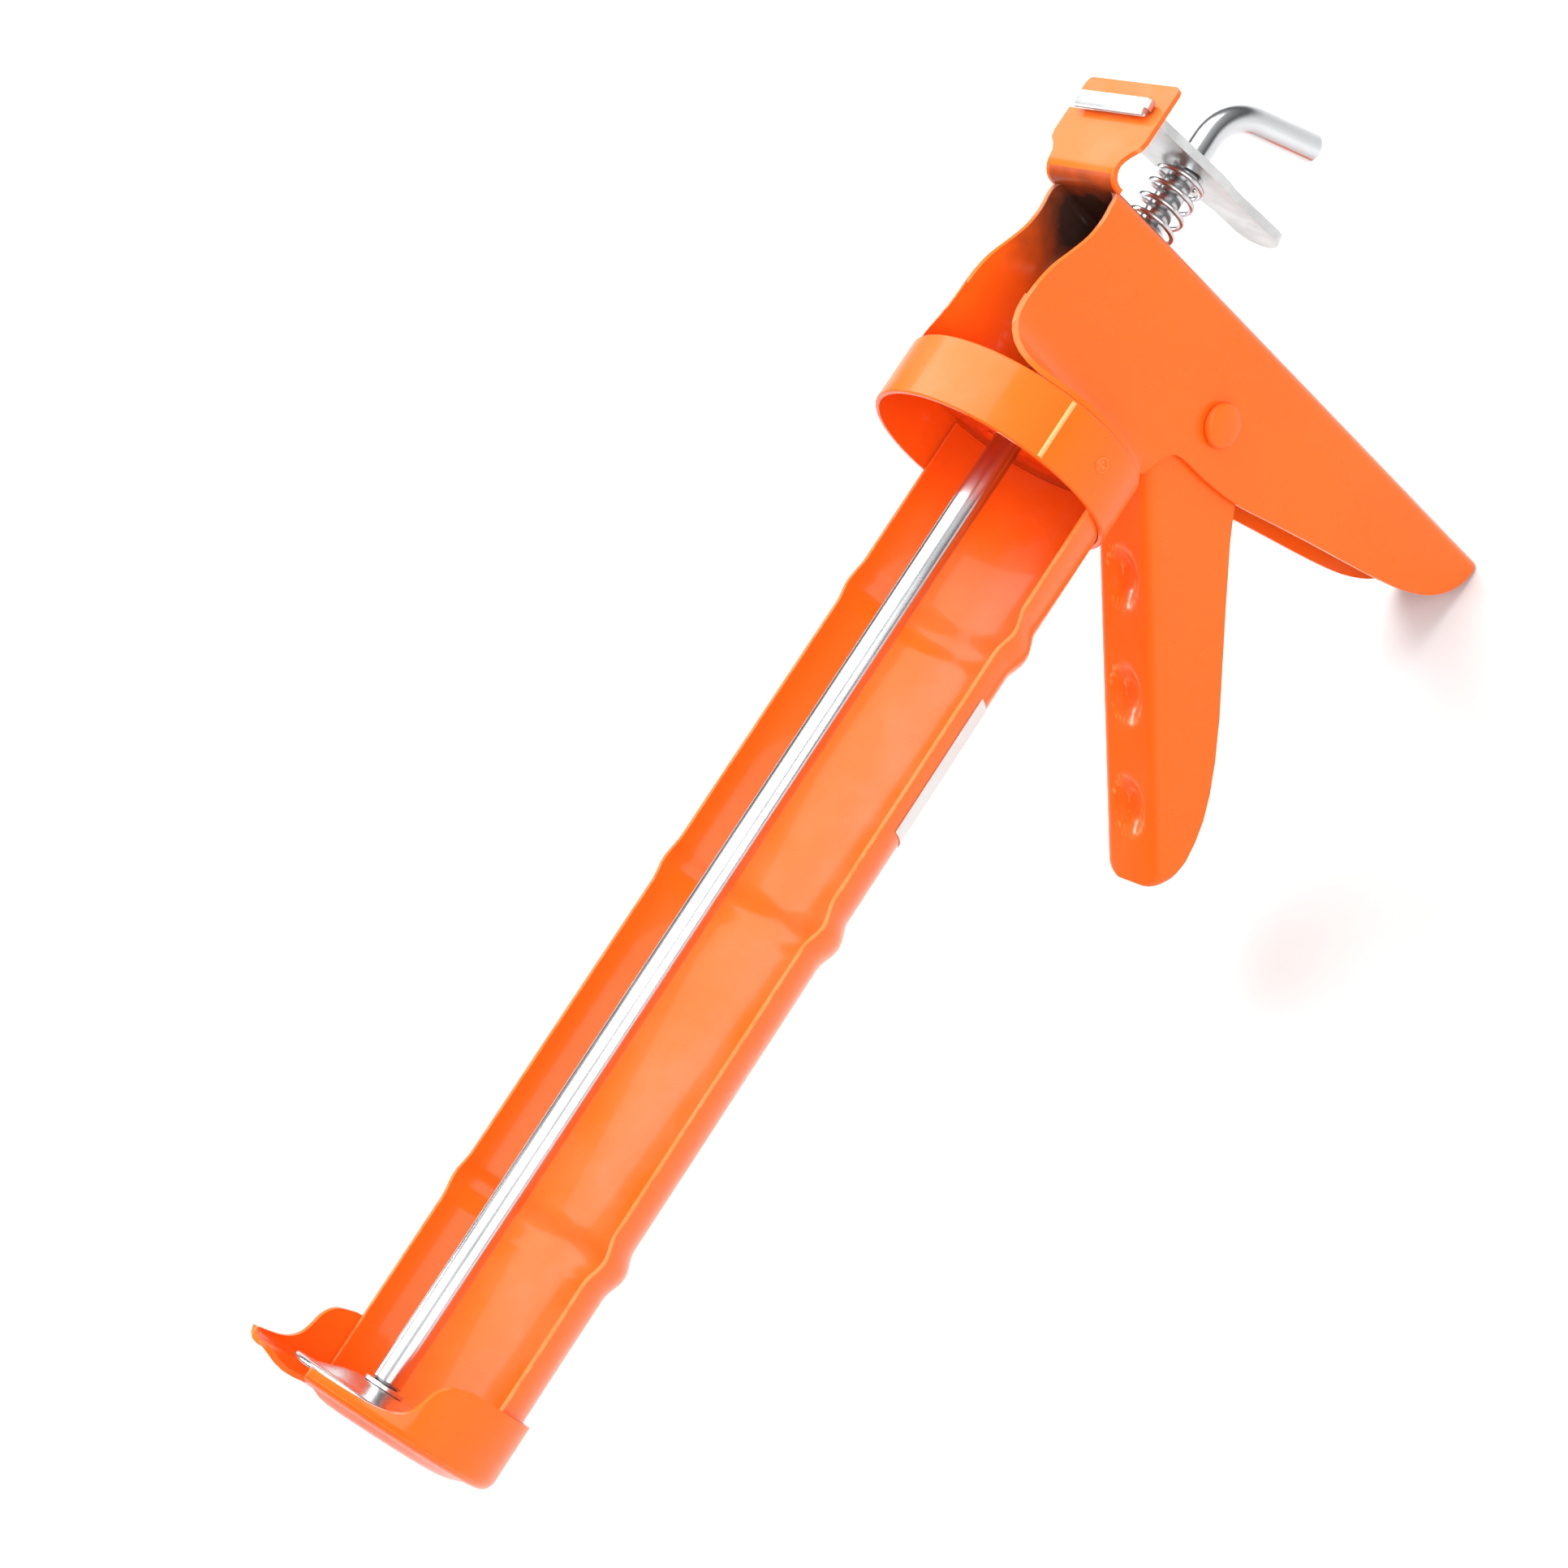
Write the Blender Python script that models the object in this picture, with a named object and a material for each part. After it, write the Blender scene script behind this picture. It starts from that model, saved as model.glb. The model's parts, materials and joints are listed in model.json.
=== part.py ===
"""Half-barrel caulking gun with a smooth rod, one Blender object for each physical piece.

The gun lies level: +X towards the nose along the rod, +Y to the gun's left, +Z up.
Sizes below are millimetres with X and Z counted from the middle of the collar's rear edge
on the rod's axis. The finished pieces are moved by ORIGIN so that the bottom centre of the
whole gun is the world origin.
"""

import math

import bmesh
import bpy
from mathutils import Matrix, Vector

MM = 0.001
ORIGIN = (-77.317, 0.0, 133.989)   # added to every position, mm

# Sheet metal
SHEET = 1.2                     # frame and trigger stampings
BARREL_SHEET = 1.0              # trough and cap

# Barrel
COLLAR_LENGTH = 15.0
COLLAR_RADIUS = 28.1
TROUGH_RADIUS = 26.8
TROUGH_START = 2.4
TROUGH_END = 243.4
TROUGH_EDGE_Z = -6.3            # height of the trough's two long edges
BEAD_CENTRES = (44.7, 116.9, 196.1)
BEAD_LENGTH = 11.6
BEAD_HEIGHT = 1.4
CAP_REAR = 230.6
CAP_FACE = 246.0
CAP_RADIUS = 28.5
CAP_ROLL_DEG = 10.0             # the cap sits turned on the barrel, left side up
NOZZLE_RADIUS = 11.4            # half width of the cap's open slot

# Frame
FRAME_HALF = 10.3
WEB_X = -46.7                   # rear face of the back web level with the rod
WEB_LEAN = 0.0735               # forward travel of the web for each mm of height
WEB_BEND = 3.0
EAR_BEND = 11.0
EAR_RADIUS = 27.3
EAR_HOLE_Y = 18.0
EAR_HOLE_Z = (8.6, -10.7)
EAR_HOLE_RADIUS = 2.7
TAB_TOP = 25.3
TAB_REAR = -68.4
TAB_HALF = 13.8
SLOT_X = (-64.4, -60.2)
SLOT_END_Y = 9.0
HANG_SLOT_Z = -109.0
HANG_SLOT_LENGTH = 14.0
HANG_SLOT_WIDTH = 8.0

# Trigger, in its own frame: U along the finger web from the pivot, V square to it
PIVOT = (-27.7, -38.7)
TRIGGER_U = (0.6707, -0.7416)
TRIGGER_V = (0.7416, 0.6707)
TRIGGER_HALF = 8.6
TRIGGER_FACE = 20.3
TRIGGER_END = 100.2             # where the web's lower corners start to round
DIMPLES = (31.9, 59.1, 85.6)
DIMPLE_HALF = (7.8, 5.4)        # half length and half width
DIMPLE_DEPTH = 2.3
LOBE_ARM = 22.5
LOBE_REST_DEG = -14.0
LOBE_RADIUS = 3.2

# Rod, plates and springs
ROD_RADIUS = 3.25
ROD_SHOULDER = 238.9
STUD_RADIUS = 2.35
STUD_END = 247.7
HOOK_BEND_X = -73.3
HOOK_BEND_RADIUS = 12.0
HOOK_TURN_DEG = 70.0
HOOK_TAIL = 17.0
HOOK_ROLL_DEG = 11.0
DISC_RADIUS = 18.4
DISC_DISH = 2.7
DISC_X = 240.1
DISC_SHEET = 1.2
PLATE_PIVOT = (-62.3, 24.7)
PLATE_TILT_DEG = 7.5
PLATE_SHEET = 2.2
DRIVE_X = -29.6
DRIVE_SHEET = 2.5

PAINT = ((0.87, 0.105, 0.012), 0.32, 0.0)
ZINC = ((0.66, 0.67, 0.66), 0.34, 1.0)
STEEL = ((0.60, 0.61, 0.62), 0.22, 1.0)
PAPER = ((0.86, 0.86, 0.84), 0.45, 0.0)


# ---------------------------------------------------------------- helpers

def clear_scene():
    """Remove whatever the start-up scene holds."""
    for obj in list(bpy.data.objects):
        bpy.data.objects.remove(obj, do_unlink=True)


def make_material(name, look):
    """A Principled material from (colour, roughness, metallic)."""
    colour, roughness, metallic = look
    material = bpy.data.materials.new(name)
    material.use_nodes = True
    shader = material.node_tree.nodes["Principled BSDF"]
    shader.inputs["Base Color"].default_value = (*colour, 1.0)
    shader.inputs["Roughness"].default_value = roughness
    shader.inputs["Metallic"].default_value = metallic
    material.diffuse_color = (*colour, 1.0)
    return material


def raw_object(name, verts, faces):
    """An object from millimetre vertices and faces, with its normals made consistent."""
    mesh = bpy.data.meshes.new(name)
    mesh.from_pydata([Vector(v) * MM for v in verts], [], faces)
    work = bmesh.new()
    work.from_mesh(mesh)
    bmesh.ops.recalc_face_normals(work, faces=work.faces)
    work.to_mesh(mesh)
    work.free()
    obj = bpy.data.objects.new(name, mesh)
    bpy.context.scene.collection.objects.link(obj)
    return obj


def smooth_curve(points, steps=4, closed=True):
    """Catmull-Rom points through the given 2D points."""
    count = len(points)
    spans = count if closed else count - 1
    curve = []
    for i in range(spans):
        if closed:
            p0, p1, p2, p3 = (points[(i + k - 1) % count] for k in range(4))
        else:
            p0 = points[max(i - 1, 0)]
            p1, p2 = points[i], points[i + 1]
            p3 = points[min(i + 2, count - 1)]
        for s in range(steps):
            t = s / steps
            curve.append(tuple(
                0.5 * (2 * b + (c - a) * t + (2 * a - 5 * b + 4 * c - d) * t * t
                       + (3 * b - a - 3 * c + d) * t ** 3)
                for a, b, c, d in zip(p0, p1, p2, p3)))
    if not closed:
        curve.append(tuple(points[-1]))
    return curve


def arc(centre, radius, start_deg, end_deg, steps):
    """Points on a circular arc, both ends included."""
    points = []
    for i in range(steps + 1):
        angle = math.radians(start_deg + (end_deg - start_deg) * i / steps)
        points.append((centre[0] + radius * math.cos(angle),
                       centre[1] + radius * math.sin(angle)))
    return points


def place(plane, a, b, c):
    """The 3D point with (a, b) in the named plane and c along its normal."""
    if plane == "XZ":
        return (a, c, b)
    if plane == "XY":
        return (a, b, c)
    return (c, a, b)            # YZ


def prism(name, outline, plane, low, high):
    """Extrude a 2D outline between two heights along the plane's normal."""
    count = len(outline)
    verts = [place(plane, a, b, low) for a, b in outline]
    verts += [place(plane, a, b, high) for a, b in outline]
    faces = [list(range(count))[::-1], list(range(count, 2 * count))]
    for i in range(count):
        j = (i + 1) % count
        faces.append([i, j, count + j, count + i])
    return raw_object(name, verts, faces)


def box(name, low, high):
    """An axis-aligned box between two corners."""
    outline = [(low[0], low[1]), (high[0], low[1]), (high[0], high[1]), (low[0], high[1])]
    return prism(name, outline, "XY", low[2], high[2])


def rings(name, sections, closed_ring=True, capped=True):
    """Skin a list of sections with equal point counts."""
    count = len(sections[0])
    verts = [point for section in sections for point in section]
    faces = []
    for k in range(len(sections) - 1):
        for i in range(count if closed_ring else count - 1):
            j = (i + 1) % count
            faces.append([k * count + i, k * count + j,
                          (k + 1) * count + j, (k + 1) * count + i])
    if capped:
        faces.append(list(range(count))[::-1])
        last = (len(sections) - 1) * count
        faces.append(list(range(last, last + count)))
    return raw_object(name, verts, faces)


def lathe(name, profile, steps, axis="X", centre=(0.0, 0.0, 0.0)):
    """Turn a closed (along, radius) profile that stays off the axis, or touches it at its ends."""
    touches = profile[0][1] == 0.0
    verts = []
    faces = []
    body = profile[1:-1] if touches else profile
    for k in range(steps):
        angle = 2 * math.pi * k / steps
        for along, radius in body:
            verts.append((along, radius * math.cos(angle), radius * math.sin(angle)))
    count = len(body)
    for k in range(steps):
        n = (k + 1) % steps
        for i in range(count - 1 if touches else count):
            j = (i + 1) % count
            faces.append([k * count + i, k * count + j, n * count + j, n * count + i])
    if touches:
        first, last = len(verts), len(verts) + 1
        verts += [(profile[0][0], 0.0, 0.0), (profile[-1][0], 0.0, 0.0)]
        for k in range(steps):
            n = (k + 1) % steps
            faces.append([first, k * count, n * count])
            faces.append([last, n * count + count - 1, k * count + count - 1])
    if axis == "Y":
        verts = [(-y, x, z) for x, y, z in verts]
    elif axis == "Z":
        verts = [(y, z, x) for x, y, z in verts]
    verts = [tuple(v[i] + centre[i] for i in range(3)) for v in verts]
    return raw_object(name, verts, faces)


def cylinder(name, radius, low, high, axis="X", centre=(0.0, 0.0, 0.0), steps=32):
    """A plain cylinder along an axis."""
    return lathe(name, [(low, 0.0), (low, radius), (high, radius), (high, 0.0)],
                 steps, axis, centre)


def sweep(name, path, radii, sides=16):
    """Carry a circle along a path of 3D points, with a radius for each point."""
    points = [Vector(p) for p in path]
    tangents = []
    for i in range(len(points)):
        before = points[max(i - 1, 0)]
        after = points[min(i + 1, len(points) - 1)]
        tangents.append((after - before).normalized())
    side = tangents[0].orthogonal().normalized()
    sections = []
    for i, point in enumerate(points):
        if i:
            turn = tangents[i - 1].rotation_difference(tangents[i])
            side = turn @ side
        side = (side - tangents[i] * side.dot(tangents[i])).normalized()
        other = tangents[i].cross(side)
        section = []
        for k in range(sides):
            angle = 2 * math.pi * k / sides
            offset = side * math.cos(angle) + other * math.sin(angle)
            section.append(tuple(point + offset * radii[i]))
        sections.append(section)
    return rings(name, sections)


def combine(target, cutter, operation):
    """Apply an exact Boolean to target and remove the cutter."""
    modifier = target.modifiers.new("cut", "BOOLEAN")
    modifier.operation = operation
    modifier.solver = "EXACT"
    modifier.object = cutter
    bpy.context.view_layer.update()
    graph = bpy.context.evaluated_depsgraph_get()
    result = bpy.data.meshes.new_from_object(target.evaluated_get(graph))
    target.modifiers.remove(modifier)
    old = target.data
    target.data = result
    bpy.data.meshes.remove(old)
    bpy.data.objects.remove(cutter, do_unlink=True)
    return target


def cut(target, *cutters):
    """Subtract each cutter."""
    for cutter in cutters:
        combine(target, cutter, "DIFFERENCE")
    return target


def join(target, *others):
    """Unite each other body."""
    for other in others:
        combine(target, other, "UNION")
    return target


def keep(target, *limits):
    """Keep only what lies inside each limiting body."""
    for limit in limits:
        combine(target, limit, "INTERSECT")
    return target


def finish(obj, name, material, pivot=(0.0, 0.0, 0.0), sharp_deg=38.0):
    """Clean, shade and name a piece, and put its origin on its pivot."""
    obj.name = name
    obj.data.name = name
    work = bmesh.new()
    work.from_mesh(obj.data)
    bmesh.ops.remove_doubles(work, verts=work.verts, dist=2e-6)
    bmesh.ops.dissolve_degenerate(work, edges=work.edges, dist=1e-6)
    bmesh.ops.recalc_face_normals(work, faces=work.faces)
    for face in work.faces:
        face.smooth = True
    for edge in work.edges:
        edge.smooth = edge.calc_face_angle(0.0) < math.radians(sharp_deg)
    bmesh.ops.translate(work, verts=work.verts, vec=-Vector(pivot) * MM)
    work.to_mesh(obj.data)
    work.free()
    obj.location = (Vector(pivot) + Vector(ORIGIN)) * MM
    obj.data.materials.clear()
    obj.data.materials.append(material)
    return obj


# ---------------------------------------------------------------- barrel

def build_collar():
    """Band round the rear of the barrel, with one shallow weld dimple."""
    outer, inner = COLLAR_RADIUS, COLLAR_RADIUS - 1.1
    profile = [(0.3, inner), (0.3, outer - 0.3), (0.6, outer), (COLLAR_LENGTH - 0.3, outer),
               (COLLAR_LENGTH, outer - 0.3), (COLLAR_LENGTH, inner)]
    ring = lathe("ring", profile, 72)
    angle = math.radians(-1.2)
    reach = outer + 1.55
    dimple = lathe("dimple", [(-2.0, 0.0), *[(2.0 * math.cos(t), 2.0 * math.sin(t))
                                             for t in (2.6, 2.1, 1.57, 1.04, 0.5)], (2.0, 0.0)],
                   12, "X", (6.8, reach * math.cos(angle), reach * math.sin(angle)))
    return cut(ring, dimple)


def bead_height(x):
    """How far the trough stands out of its plain radius at x."""
    for centre in BEAD_CENTRES:
        offset = abs(x - centre) / (BEAD_LENGTH / 2)
        if offset < 1.0:
            return BEAD_HEIGHT * 0.5 * (1.0 + math.cos(math.pi * offset))
    return 0.0


def build_trough():
    """Half-round trough with three rolled beads."""
    stations = {TROUGH_START, TROUGH_END}
    for centre in BEAD_CENTRES:
        for k in range(-5, 6):
            stations.add(centre + BEAD_LENGTH * k / 10)
    low = 180.0 + math.degrees(math.asin(-TROUGH_EDGE_Z / TROUGH_RADIUS))
    high = 540.0 - low
    sections = []
    for x in sorted(stations):
        outer = TROUGH_RADIUS + bead_height(x)
        section = [(x, r, z) for r, z in arc((0, 0), outer, low, high, 34)]
        section += [(x, r, z) for r, z in arc((0, 0), outer - BARREL_SHEET, high, low, 34)]
        sections.append(section)
    return rings("trough", sections)


def build_cap():
    """Drawn nose cup: rolled face, open nozzle slot, skirt cut down beside it."""
    face = CAP_FACE
    outer = [(CAP_REAR, CAP_RADIUS), (face - 2.6, CAP_RADIUS), (face - 1.2, CAP_RADIUS - 0.5),
             (face - 0.4, CAP_RADIUS - 1.3), (face, CAP_RADIUS - 2.6), (face, 24.4),
             (face + 0.5, 23.0), (face + 1.3, 21.0), (face + 1.8, 18.8), (face + 1.8, 16.8),
             (face + 1.4, 14.9), (face + 0.7, 13.2), (face, 11.9)]
    inner = [(face - 1.1, 11.9), (face - 0.4, 13.5), (face + 0.4, 15.4), (face + 0.7, 17.2),
             (face + 0.7, 18.5), (face + 0.2, 20.4), (face - 0.6, 22.2), (face - 1.1, 23.6),
             (face - 1.1, CAP_RADIUS - 2.8), (face - 1.4, CAP_RADIUS - 2.0),
             (face - 1.9, CAP_RADIUS - 1.5), (face - 2.8, CAP_RADIUS - 1.2),
             (CAP_REAR, CAP_RADIUS - 1.2)]
    cup = lathe("cup", outer + inner, 80)
    side = smooth_curve([(230.2, -3.0), (231.0, 0.4), (232.2, 3.9), (234.6, 5.9), (237.4, 6.7),
                         (239.8, 7.7), (241.5, 9.8), (242.5, 13.0), (243.0, 17.5), (243.2, 24.0)],
                        3, False)
    skirt = prism("skirt", [(222.0, -3.0), *side, (243.2, 40.0), (222.0, 40.0)], "XZ", -40, 40)
    prong = [(NOZZLE_RADIUS, -1.0), (NOZZLE_RADIUS, 18.0), (11.6, 20.6), (12.3, 22.6),
             (13.6, 23.9), (15.6, 24.3), (22.0, 26.0), (22.0, 40.0)]
    slot = prism("slot", prong + [(-y, z) for y, z in prong[::-1]], "YZ", 225, 255)
    cut(cup, skirt, slot)
    roll = Matrix.Rotation(math.radians(CAP_ROLL_DEG), 4, "X")
    cup.data.transform(roll)
    return cup


def build_guide_plate():
    """Round plate that closes the collar's rear, with the rod hole and four openings."""
    profile = [(0.3, 3.7), (0.3, 13.0), (1.0, 14.2), (1.0, 22.0), (0.3, 23.2), (0.3, 26.6),
               (1.5, 26.6), (1.5, 23.6), (2.2, 22.4), (2.2, 13.8), (1.5, 12.6), (1.5, 3.7)]
    plate = lathe("guide", profile, 64)
    for side in (1, -1):
        for z in EAR_HOLE_Z:
            hole = cylinder("hole", 3.9, -3, 6, "X", (0, side * 15.6, z), 24)
            cut(plate, hole)
    return plate


# ---------------------------------------------------------------- frame

def web_x(z):
    """Rear face of the back web at height z."""
    return WEB_X + WEB_LEAN * z


def channel_outline(z):
    """Plan section of the frame at height z: web, side plates and flared ears."""
    back = web_x(z)
    half, inside = FRAME_HALF, FRAME_HALF - SHEET
    outer = arc((back + WEB_BEND, half - WEB_BEND), WEB_BEND, 180, 90, 4)
    ear = (-SHEET - EAR_BEND, half + EAR_BEND)
    outer += arc(ear, EAR_BEND, -90, 0, 8)
    outer += [(-SHEET, 30.0), (0.0, 30.0)]
    inner = arc(ear, EAR_BEND + SHEET, 0, -90, 8)
    inner += arc((back + WEB_BEND, half - WEB_BEND), WEB_BEND - SHEET, 90, 180, 4)
    right = outer + inner
    left = [(x, -y) for x, y in right[::-1]]
    return [(x, y, z) for x, y in right + left]


FRAME_SIDE = [(-52.0, 19.9), (-43.0, 20.3), (-38.0, 19.8), (-33.0, 20.3), (-28.0, 22.0),
              (-22.8, 24.0), (-18.0, 25.0), (-13.5, 25.3), (-9.0, 25.1), (-4.0, 24.9),
              (-1.5, 20.0), (-1.0, 0.0), (-1.5, -20.0), (-4.0, -26.0), (-9.0, -28.4),
              (-14.0, -31.2), (-16.0, -35.0), (-16.8, -45.0), (-18.7, -56.5),
              (-23.0, -71.0), (-26.8, -84.0), (-31.0, -99.0), (-34.8, -111.5),
              (-38.2, -120.0), (-42.6, -127.0), (-48.5, -131.8), (-55.0, -133.4),
              (-66.0, -133.6), (-66.0, -100.0), (-60.0, 0.0)]


def build_tab():
    """Rear tab that bends back from the top of the web."""
    top, under = TAB_TOP, TAB_TOP - SHEET
    centre = (web_x(21.1) - 3.0, 21.1)
    profile = [(web_x(11.0) + SHEET, 11.0)]
    profile += arc(centre, 4.2, 0, 90, 6)
    profile += [(TAB_REAR, top), (TAB_REAR, under)]
    profile += arc(centre, 3.0, 90, 0, 6)
    profile += [(web_x(11.0), 11.0)]
    strip = prism("tab", profile, "XZ", -16, 16)
    half = [(TAB_REAR - 0.3, TAB_HALF - 1.4), (TAB_REAR + 0.4, TAB_HALF - 0.4),
            (TAB_REAR + 1.6, TAB_HALF), (-54.2, TAB_HALF), (-52.4, TAB_HALF - 0.5),
            (-50.8, TAB_HALF - 2.2), (-49.4, 10.6), (-48.2, 10.25), (-38.0, 10.25)]
    plan = prism("plan", half + [(x, -y) for x, y in half[::-1]], "XY", 0, 40)
    neck = [(7.2, 5.0), (7.2, 18.4), (8.4, 19.4), (10.25, 20.2), (16.0, 21.0), (16.0, 40.0)]
    front = prism("neck", neck + [(-y, z) for y, z in neck[::-1]], "YZ", -80, -30)
    return keep(strip, plan, front)


def stadium(width, length, steps=8):
    """Upright slot outline about the origin."""
    r = width / 2
    reach = length / 2 - r
    return arc((0, reach), r, 0, 180, steps) + arc((0, -reach), r, 180, 360, steps)


def build_frame():
    """One stamping: handle channel, flared ears, rear tab and its holes."""
    body = rings("frame", [channel_outline(-145.0), channel_outline(36.0)])
    limit = prism("side", smooth_curve(FRAME_SIDE, 3), "XZ", -10.7, 10.7)
    join(limit, cylinder("ears", EAR_RADIUS, -14.0, 2.0, steps=96))
    keep(body, limit)
    join(body, build_tab())
    holes = [cylinder("rivet", 2.6, -20, 20, "Y", (PIVOT[0], 0, PIVOT[1]), 24),
             cylinder("rod", 4.3, -52, -40, steps=28),
             prism("hang", [(y, HANG_SLOT_Z + z) for y, z in
                            stadium(HANG_SLOT_WIDTH, HANG_SLOT_LENGTH)], "YZ", -62, -44),
             box("slot", (SLOT_X[0], -20, 22), (SLOT_X[1], SLOT_END_Y, 30))]
    for side in (1, -1):
        for z in EAR_HOLE_Z:
            holes.append(cylinder("ear", EAR_HOLE_RADIUS, -9, 3, "X",
                                  (0, side * EAR_HOLE_Y, z), 24))
    return cut(body, *holes)


# ---------------------------------------------------------------- trigger

def trigger_point(u, v, y):
    """World point from the trigger's own coordinates."""
    return (PIVOT[0] + TRIGGER_U[0] * u + TRIGGER_V[0] * v, y,
            PIVOT[1] + TRIGGER_U[1] * u + TRIGGER_V[1] * v)


def dimple(u, y):
    """Depth of the finger dimples in the web."""
    depth = 0.0
    for centre in DIMPLES:
        away = math.hypot((u - centre) / DIMPLE_HALF[0], y / DIMPLE_HALF[1])
        share = min(1.0, max(0.0, (1.0 - away) / 0.62))
        depth += DIMPLE_DEPTH * share * share * (3.0 - 2.0 * share)
    return depth


def trigger_section(u):
    """Channel section square to the finger web at u, narrowing round the lower corners."""
    past = min(3.6, max(0.0, u - TRIGGER_END))
    half, face = TRIGGER_HALF - 4.0 + math.sqrt(16.0 - past * past), TRIGGER_FACE
    bend = 3.0
    flat = half - bend
    mid = [flat * share for share in (0.0, 0.19, 0.36, 0.53, 0.68, 0.82, 0.93)]
    outer = [(face - dimple(u, y), y) for y in mid]
    outer += arc((face - bend, half - bend), bend, 0, 90, 5)
    outer.append((-34.0, half))
    inner = [(-34.0, half - SHEET)]
    inner += arc((face - bend, half - bend), bend - SHEET, 90, 0, 5)
    inner += [(v - SHEET, y) for v, y in outer[6:0:-1]] + [(outer[0][0] - SHEET, 0.0)]
    right = outer + inner
    left = [(v, -y) for v, y in inner[-2::-1]] + [(v, -y) for v, y in outer[:0:-1]]
    return [trigger_point(u, v, y) for v, y in right + left]


def build_trigger():
    """Channel with three finger dimples and two arms that reach up to the drive plate."""
    stations = [-40.0, 14.0] + [23.0 + 1.85 * k for k in range(39)]
    stations += [TRIGGER_END, 101.4, 102.5, 103.3, 103.8, 112.0]
    body = rings("trigger", [trigger_section(u) for u in stations])
    px, pz = PIVOT
    rest = math.radians(LOBE_REST_DEG)
    lobe = (px + LOBE_ARM * math.sin(rest), pz + LOBE_ARM * math.cos(rest))
    side = [trigger_point(u, v, 0)[::2] for u, v in
            [(7.5, 25.0), (103.6, 25.0), (103.8, 19.5), (102.2, 15.0), (99.2, 11.0), (95.4, 7.9),
             (91.0, 5.3), (85.5, 3.2), (78.0, 1.3), (68.0, -0.3), (56.0, -1.5), (44.0, -2.7),
             (28.0, -4.5), (20.0, -6.0)]]
    side += [(px - 2.0, pz - 13.5), (px - 7.6, pz - 7.5), (px - 9.6, pz), (px - 10.2, pz + 10)]
    side += arc(lobe, LOBE_RADIUS, 190, -15, 9)
    side += [(px - 3.6, pz + 16.4), (px + 1.0, pz + 12.4), (px + 9.0, pz + 9.6),
             (px + 15.6, pz + 7.4)]
    keep(body, prism("side", side, "XZ", -12, 12))
    return cut(body, cylinder("bore", 2.7, -20, 20, "Y", (px, 0, pz), 24))


def build_rivet():
    """Semi-tubular rivet: domed head on the left, rolled hollow tail on the right."""
    profile = [(-12.0, 2.1), (-11.9, 2.9), (-11.2, 3.3), (-10.6, 3.0), (-10.6, 2.35),
               (10.6, 2.35), (10.6, 4.7), (10.9, 5.1), (11.7, 5.1), (12.3, 4.7), (12.7, 3.6),
               (12.9, 2.0), (13.0, 0.0)]
    profile = [(-6.0, 0.0), (-6.5, 1.3), (-11.6, 1.3)] + profile
    return lathe("rivet", profile, 28, "Y", (PIVOT[0], 0, PIVOT[1]))


def build_bush():
    """Tube on the rivet between the trigger's two sides."""
    profile = [(-7.0, 2.6), (-7.0, 3.8), (7.0, 3.8), (7.0, 2.6)]
    return lathe("bush", profile, 28, "Y", (PIVOT[0], 0, PIVOT[1]))


# ---------------------------------------------------------------- rod train

def build_rod():
    """Smooth rod with a pull hook behind and a turned-down stud in front."""
    turn = math.radians(HOOK_TURN_DEG)
    tail_x = HOOK_BEND_X - HOOK_BEND_RADIUS * math.sin(turn)
    tail_z = -HOOK_BEND_RADIUS * (1 - math.cos(turn))
    tail = (-math.cos(turn), -math.sin(turn))
    path = []
    for along in (HOOK_TAIL, HOOK_TAIL - 0.8, 0.4 * HOOK_TAIL):
        path.append((tail_x + tail[0] * along, tail_z + tail[1] * along))
    for k in range(10, -1, -1):
        part = turn * k / 10
        path.append((HOOK_BEND_X - HOOK_BEND_RADIUS * math.sin(part),
                     -HOOK_BEND_RADIUS * (1 - math.cos(part))))
    path += [(-60.0, 0.0), (0.0, 0.0), (120.0, 0.0), (ROD_SHOULDER - 0.5, 0.0),
             (ROD_SHOULDER, 0.0), (ROD_SHOULDER, 0.0)]
    radii = [ROD_RADIUS - 0.8] + [ROD_RADIUS] * (len(path) - 3) + [ROD_RADIUS - 0.5, STUD_RADIUS]
    path += [(STUD_END - 0.6, 0.0), (STUD_END, 0.0)]
    radii += [STUD_RADIUS, STUD_RADIUS - 0.6]
    path[-3] = (ROD_SHOULDER + 0.05, 0.0)
    roll = math.radians(HOOK_ROLL_DEG)
    points = [(x, -z * math.sin(roll), z * math.cos(roll)) for x, z in path]
    return sweep("rod", points, radii, 24)


def build_disc():
    """Dished pusher plate with a flat rim."""
    x, t = DISC_X, DISC_SHEET
    dish = DISC_DISH
    profile = [(x, 2.7), (x, 6.6), (x + 0.5, 8.8), (x + dish - 0.6, 13.2), (x + dish, 15.3),
               (x + dish, DISC_RADIUS - 0.3), (x + dish + 0.3, DISC_RADIUS),
               (x + dish + t - 0.3, DISC_RADIUS), (x + dish + t, DISC_RADIUS - 0.3),
               (x + dish + t, 14.8), (x + dish + t - 0.6, 12.7), (x + t + 0.5, 8.3),
               (x + t, 6.1), (x + t, 2.7)]
    return lathe("disc", profile, 56)


def build_washer():
    """Backing washer between the rod's shoulder and the disc."""
    low = ROD_SHOULDER + 0.15
    high = DISC_X - 0.1
    return lathe("washer", [(low, 2.7), (low, 4.4), (high, 4.4), (high, 2.7)], 32)


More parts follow.
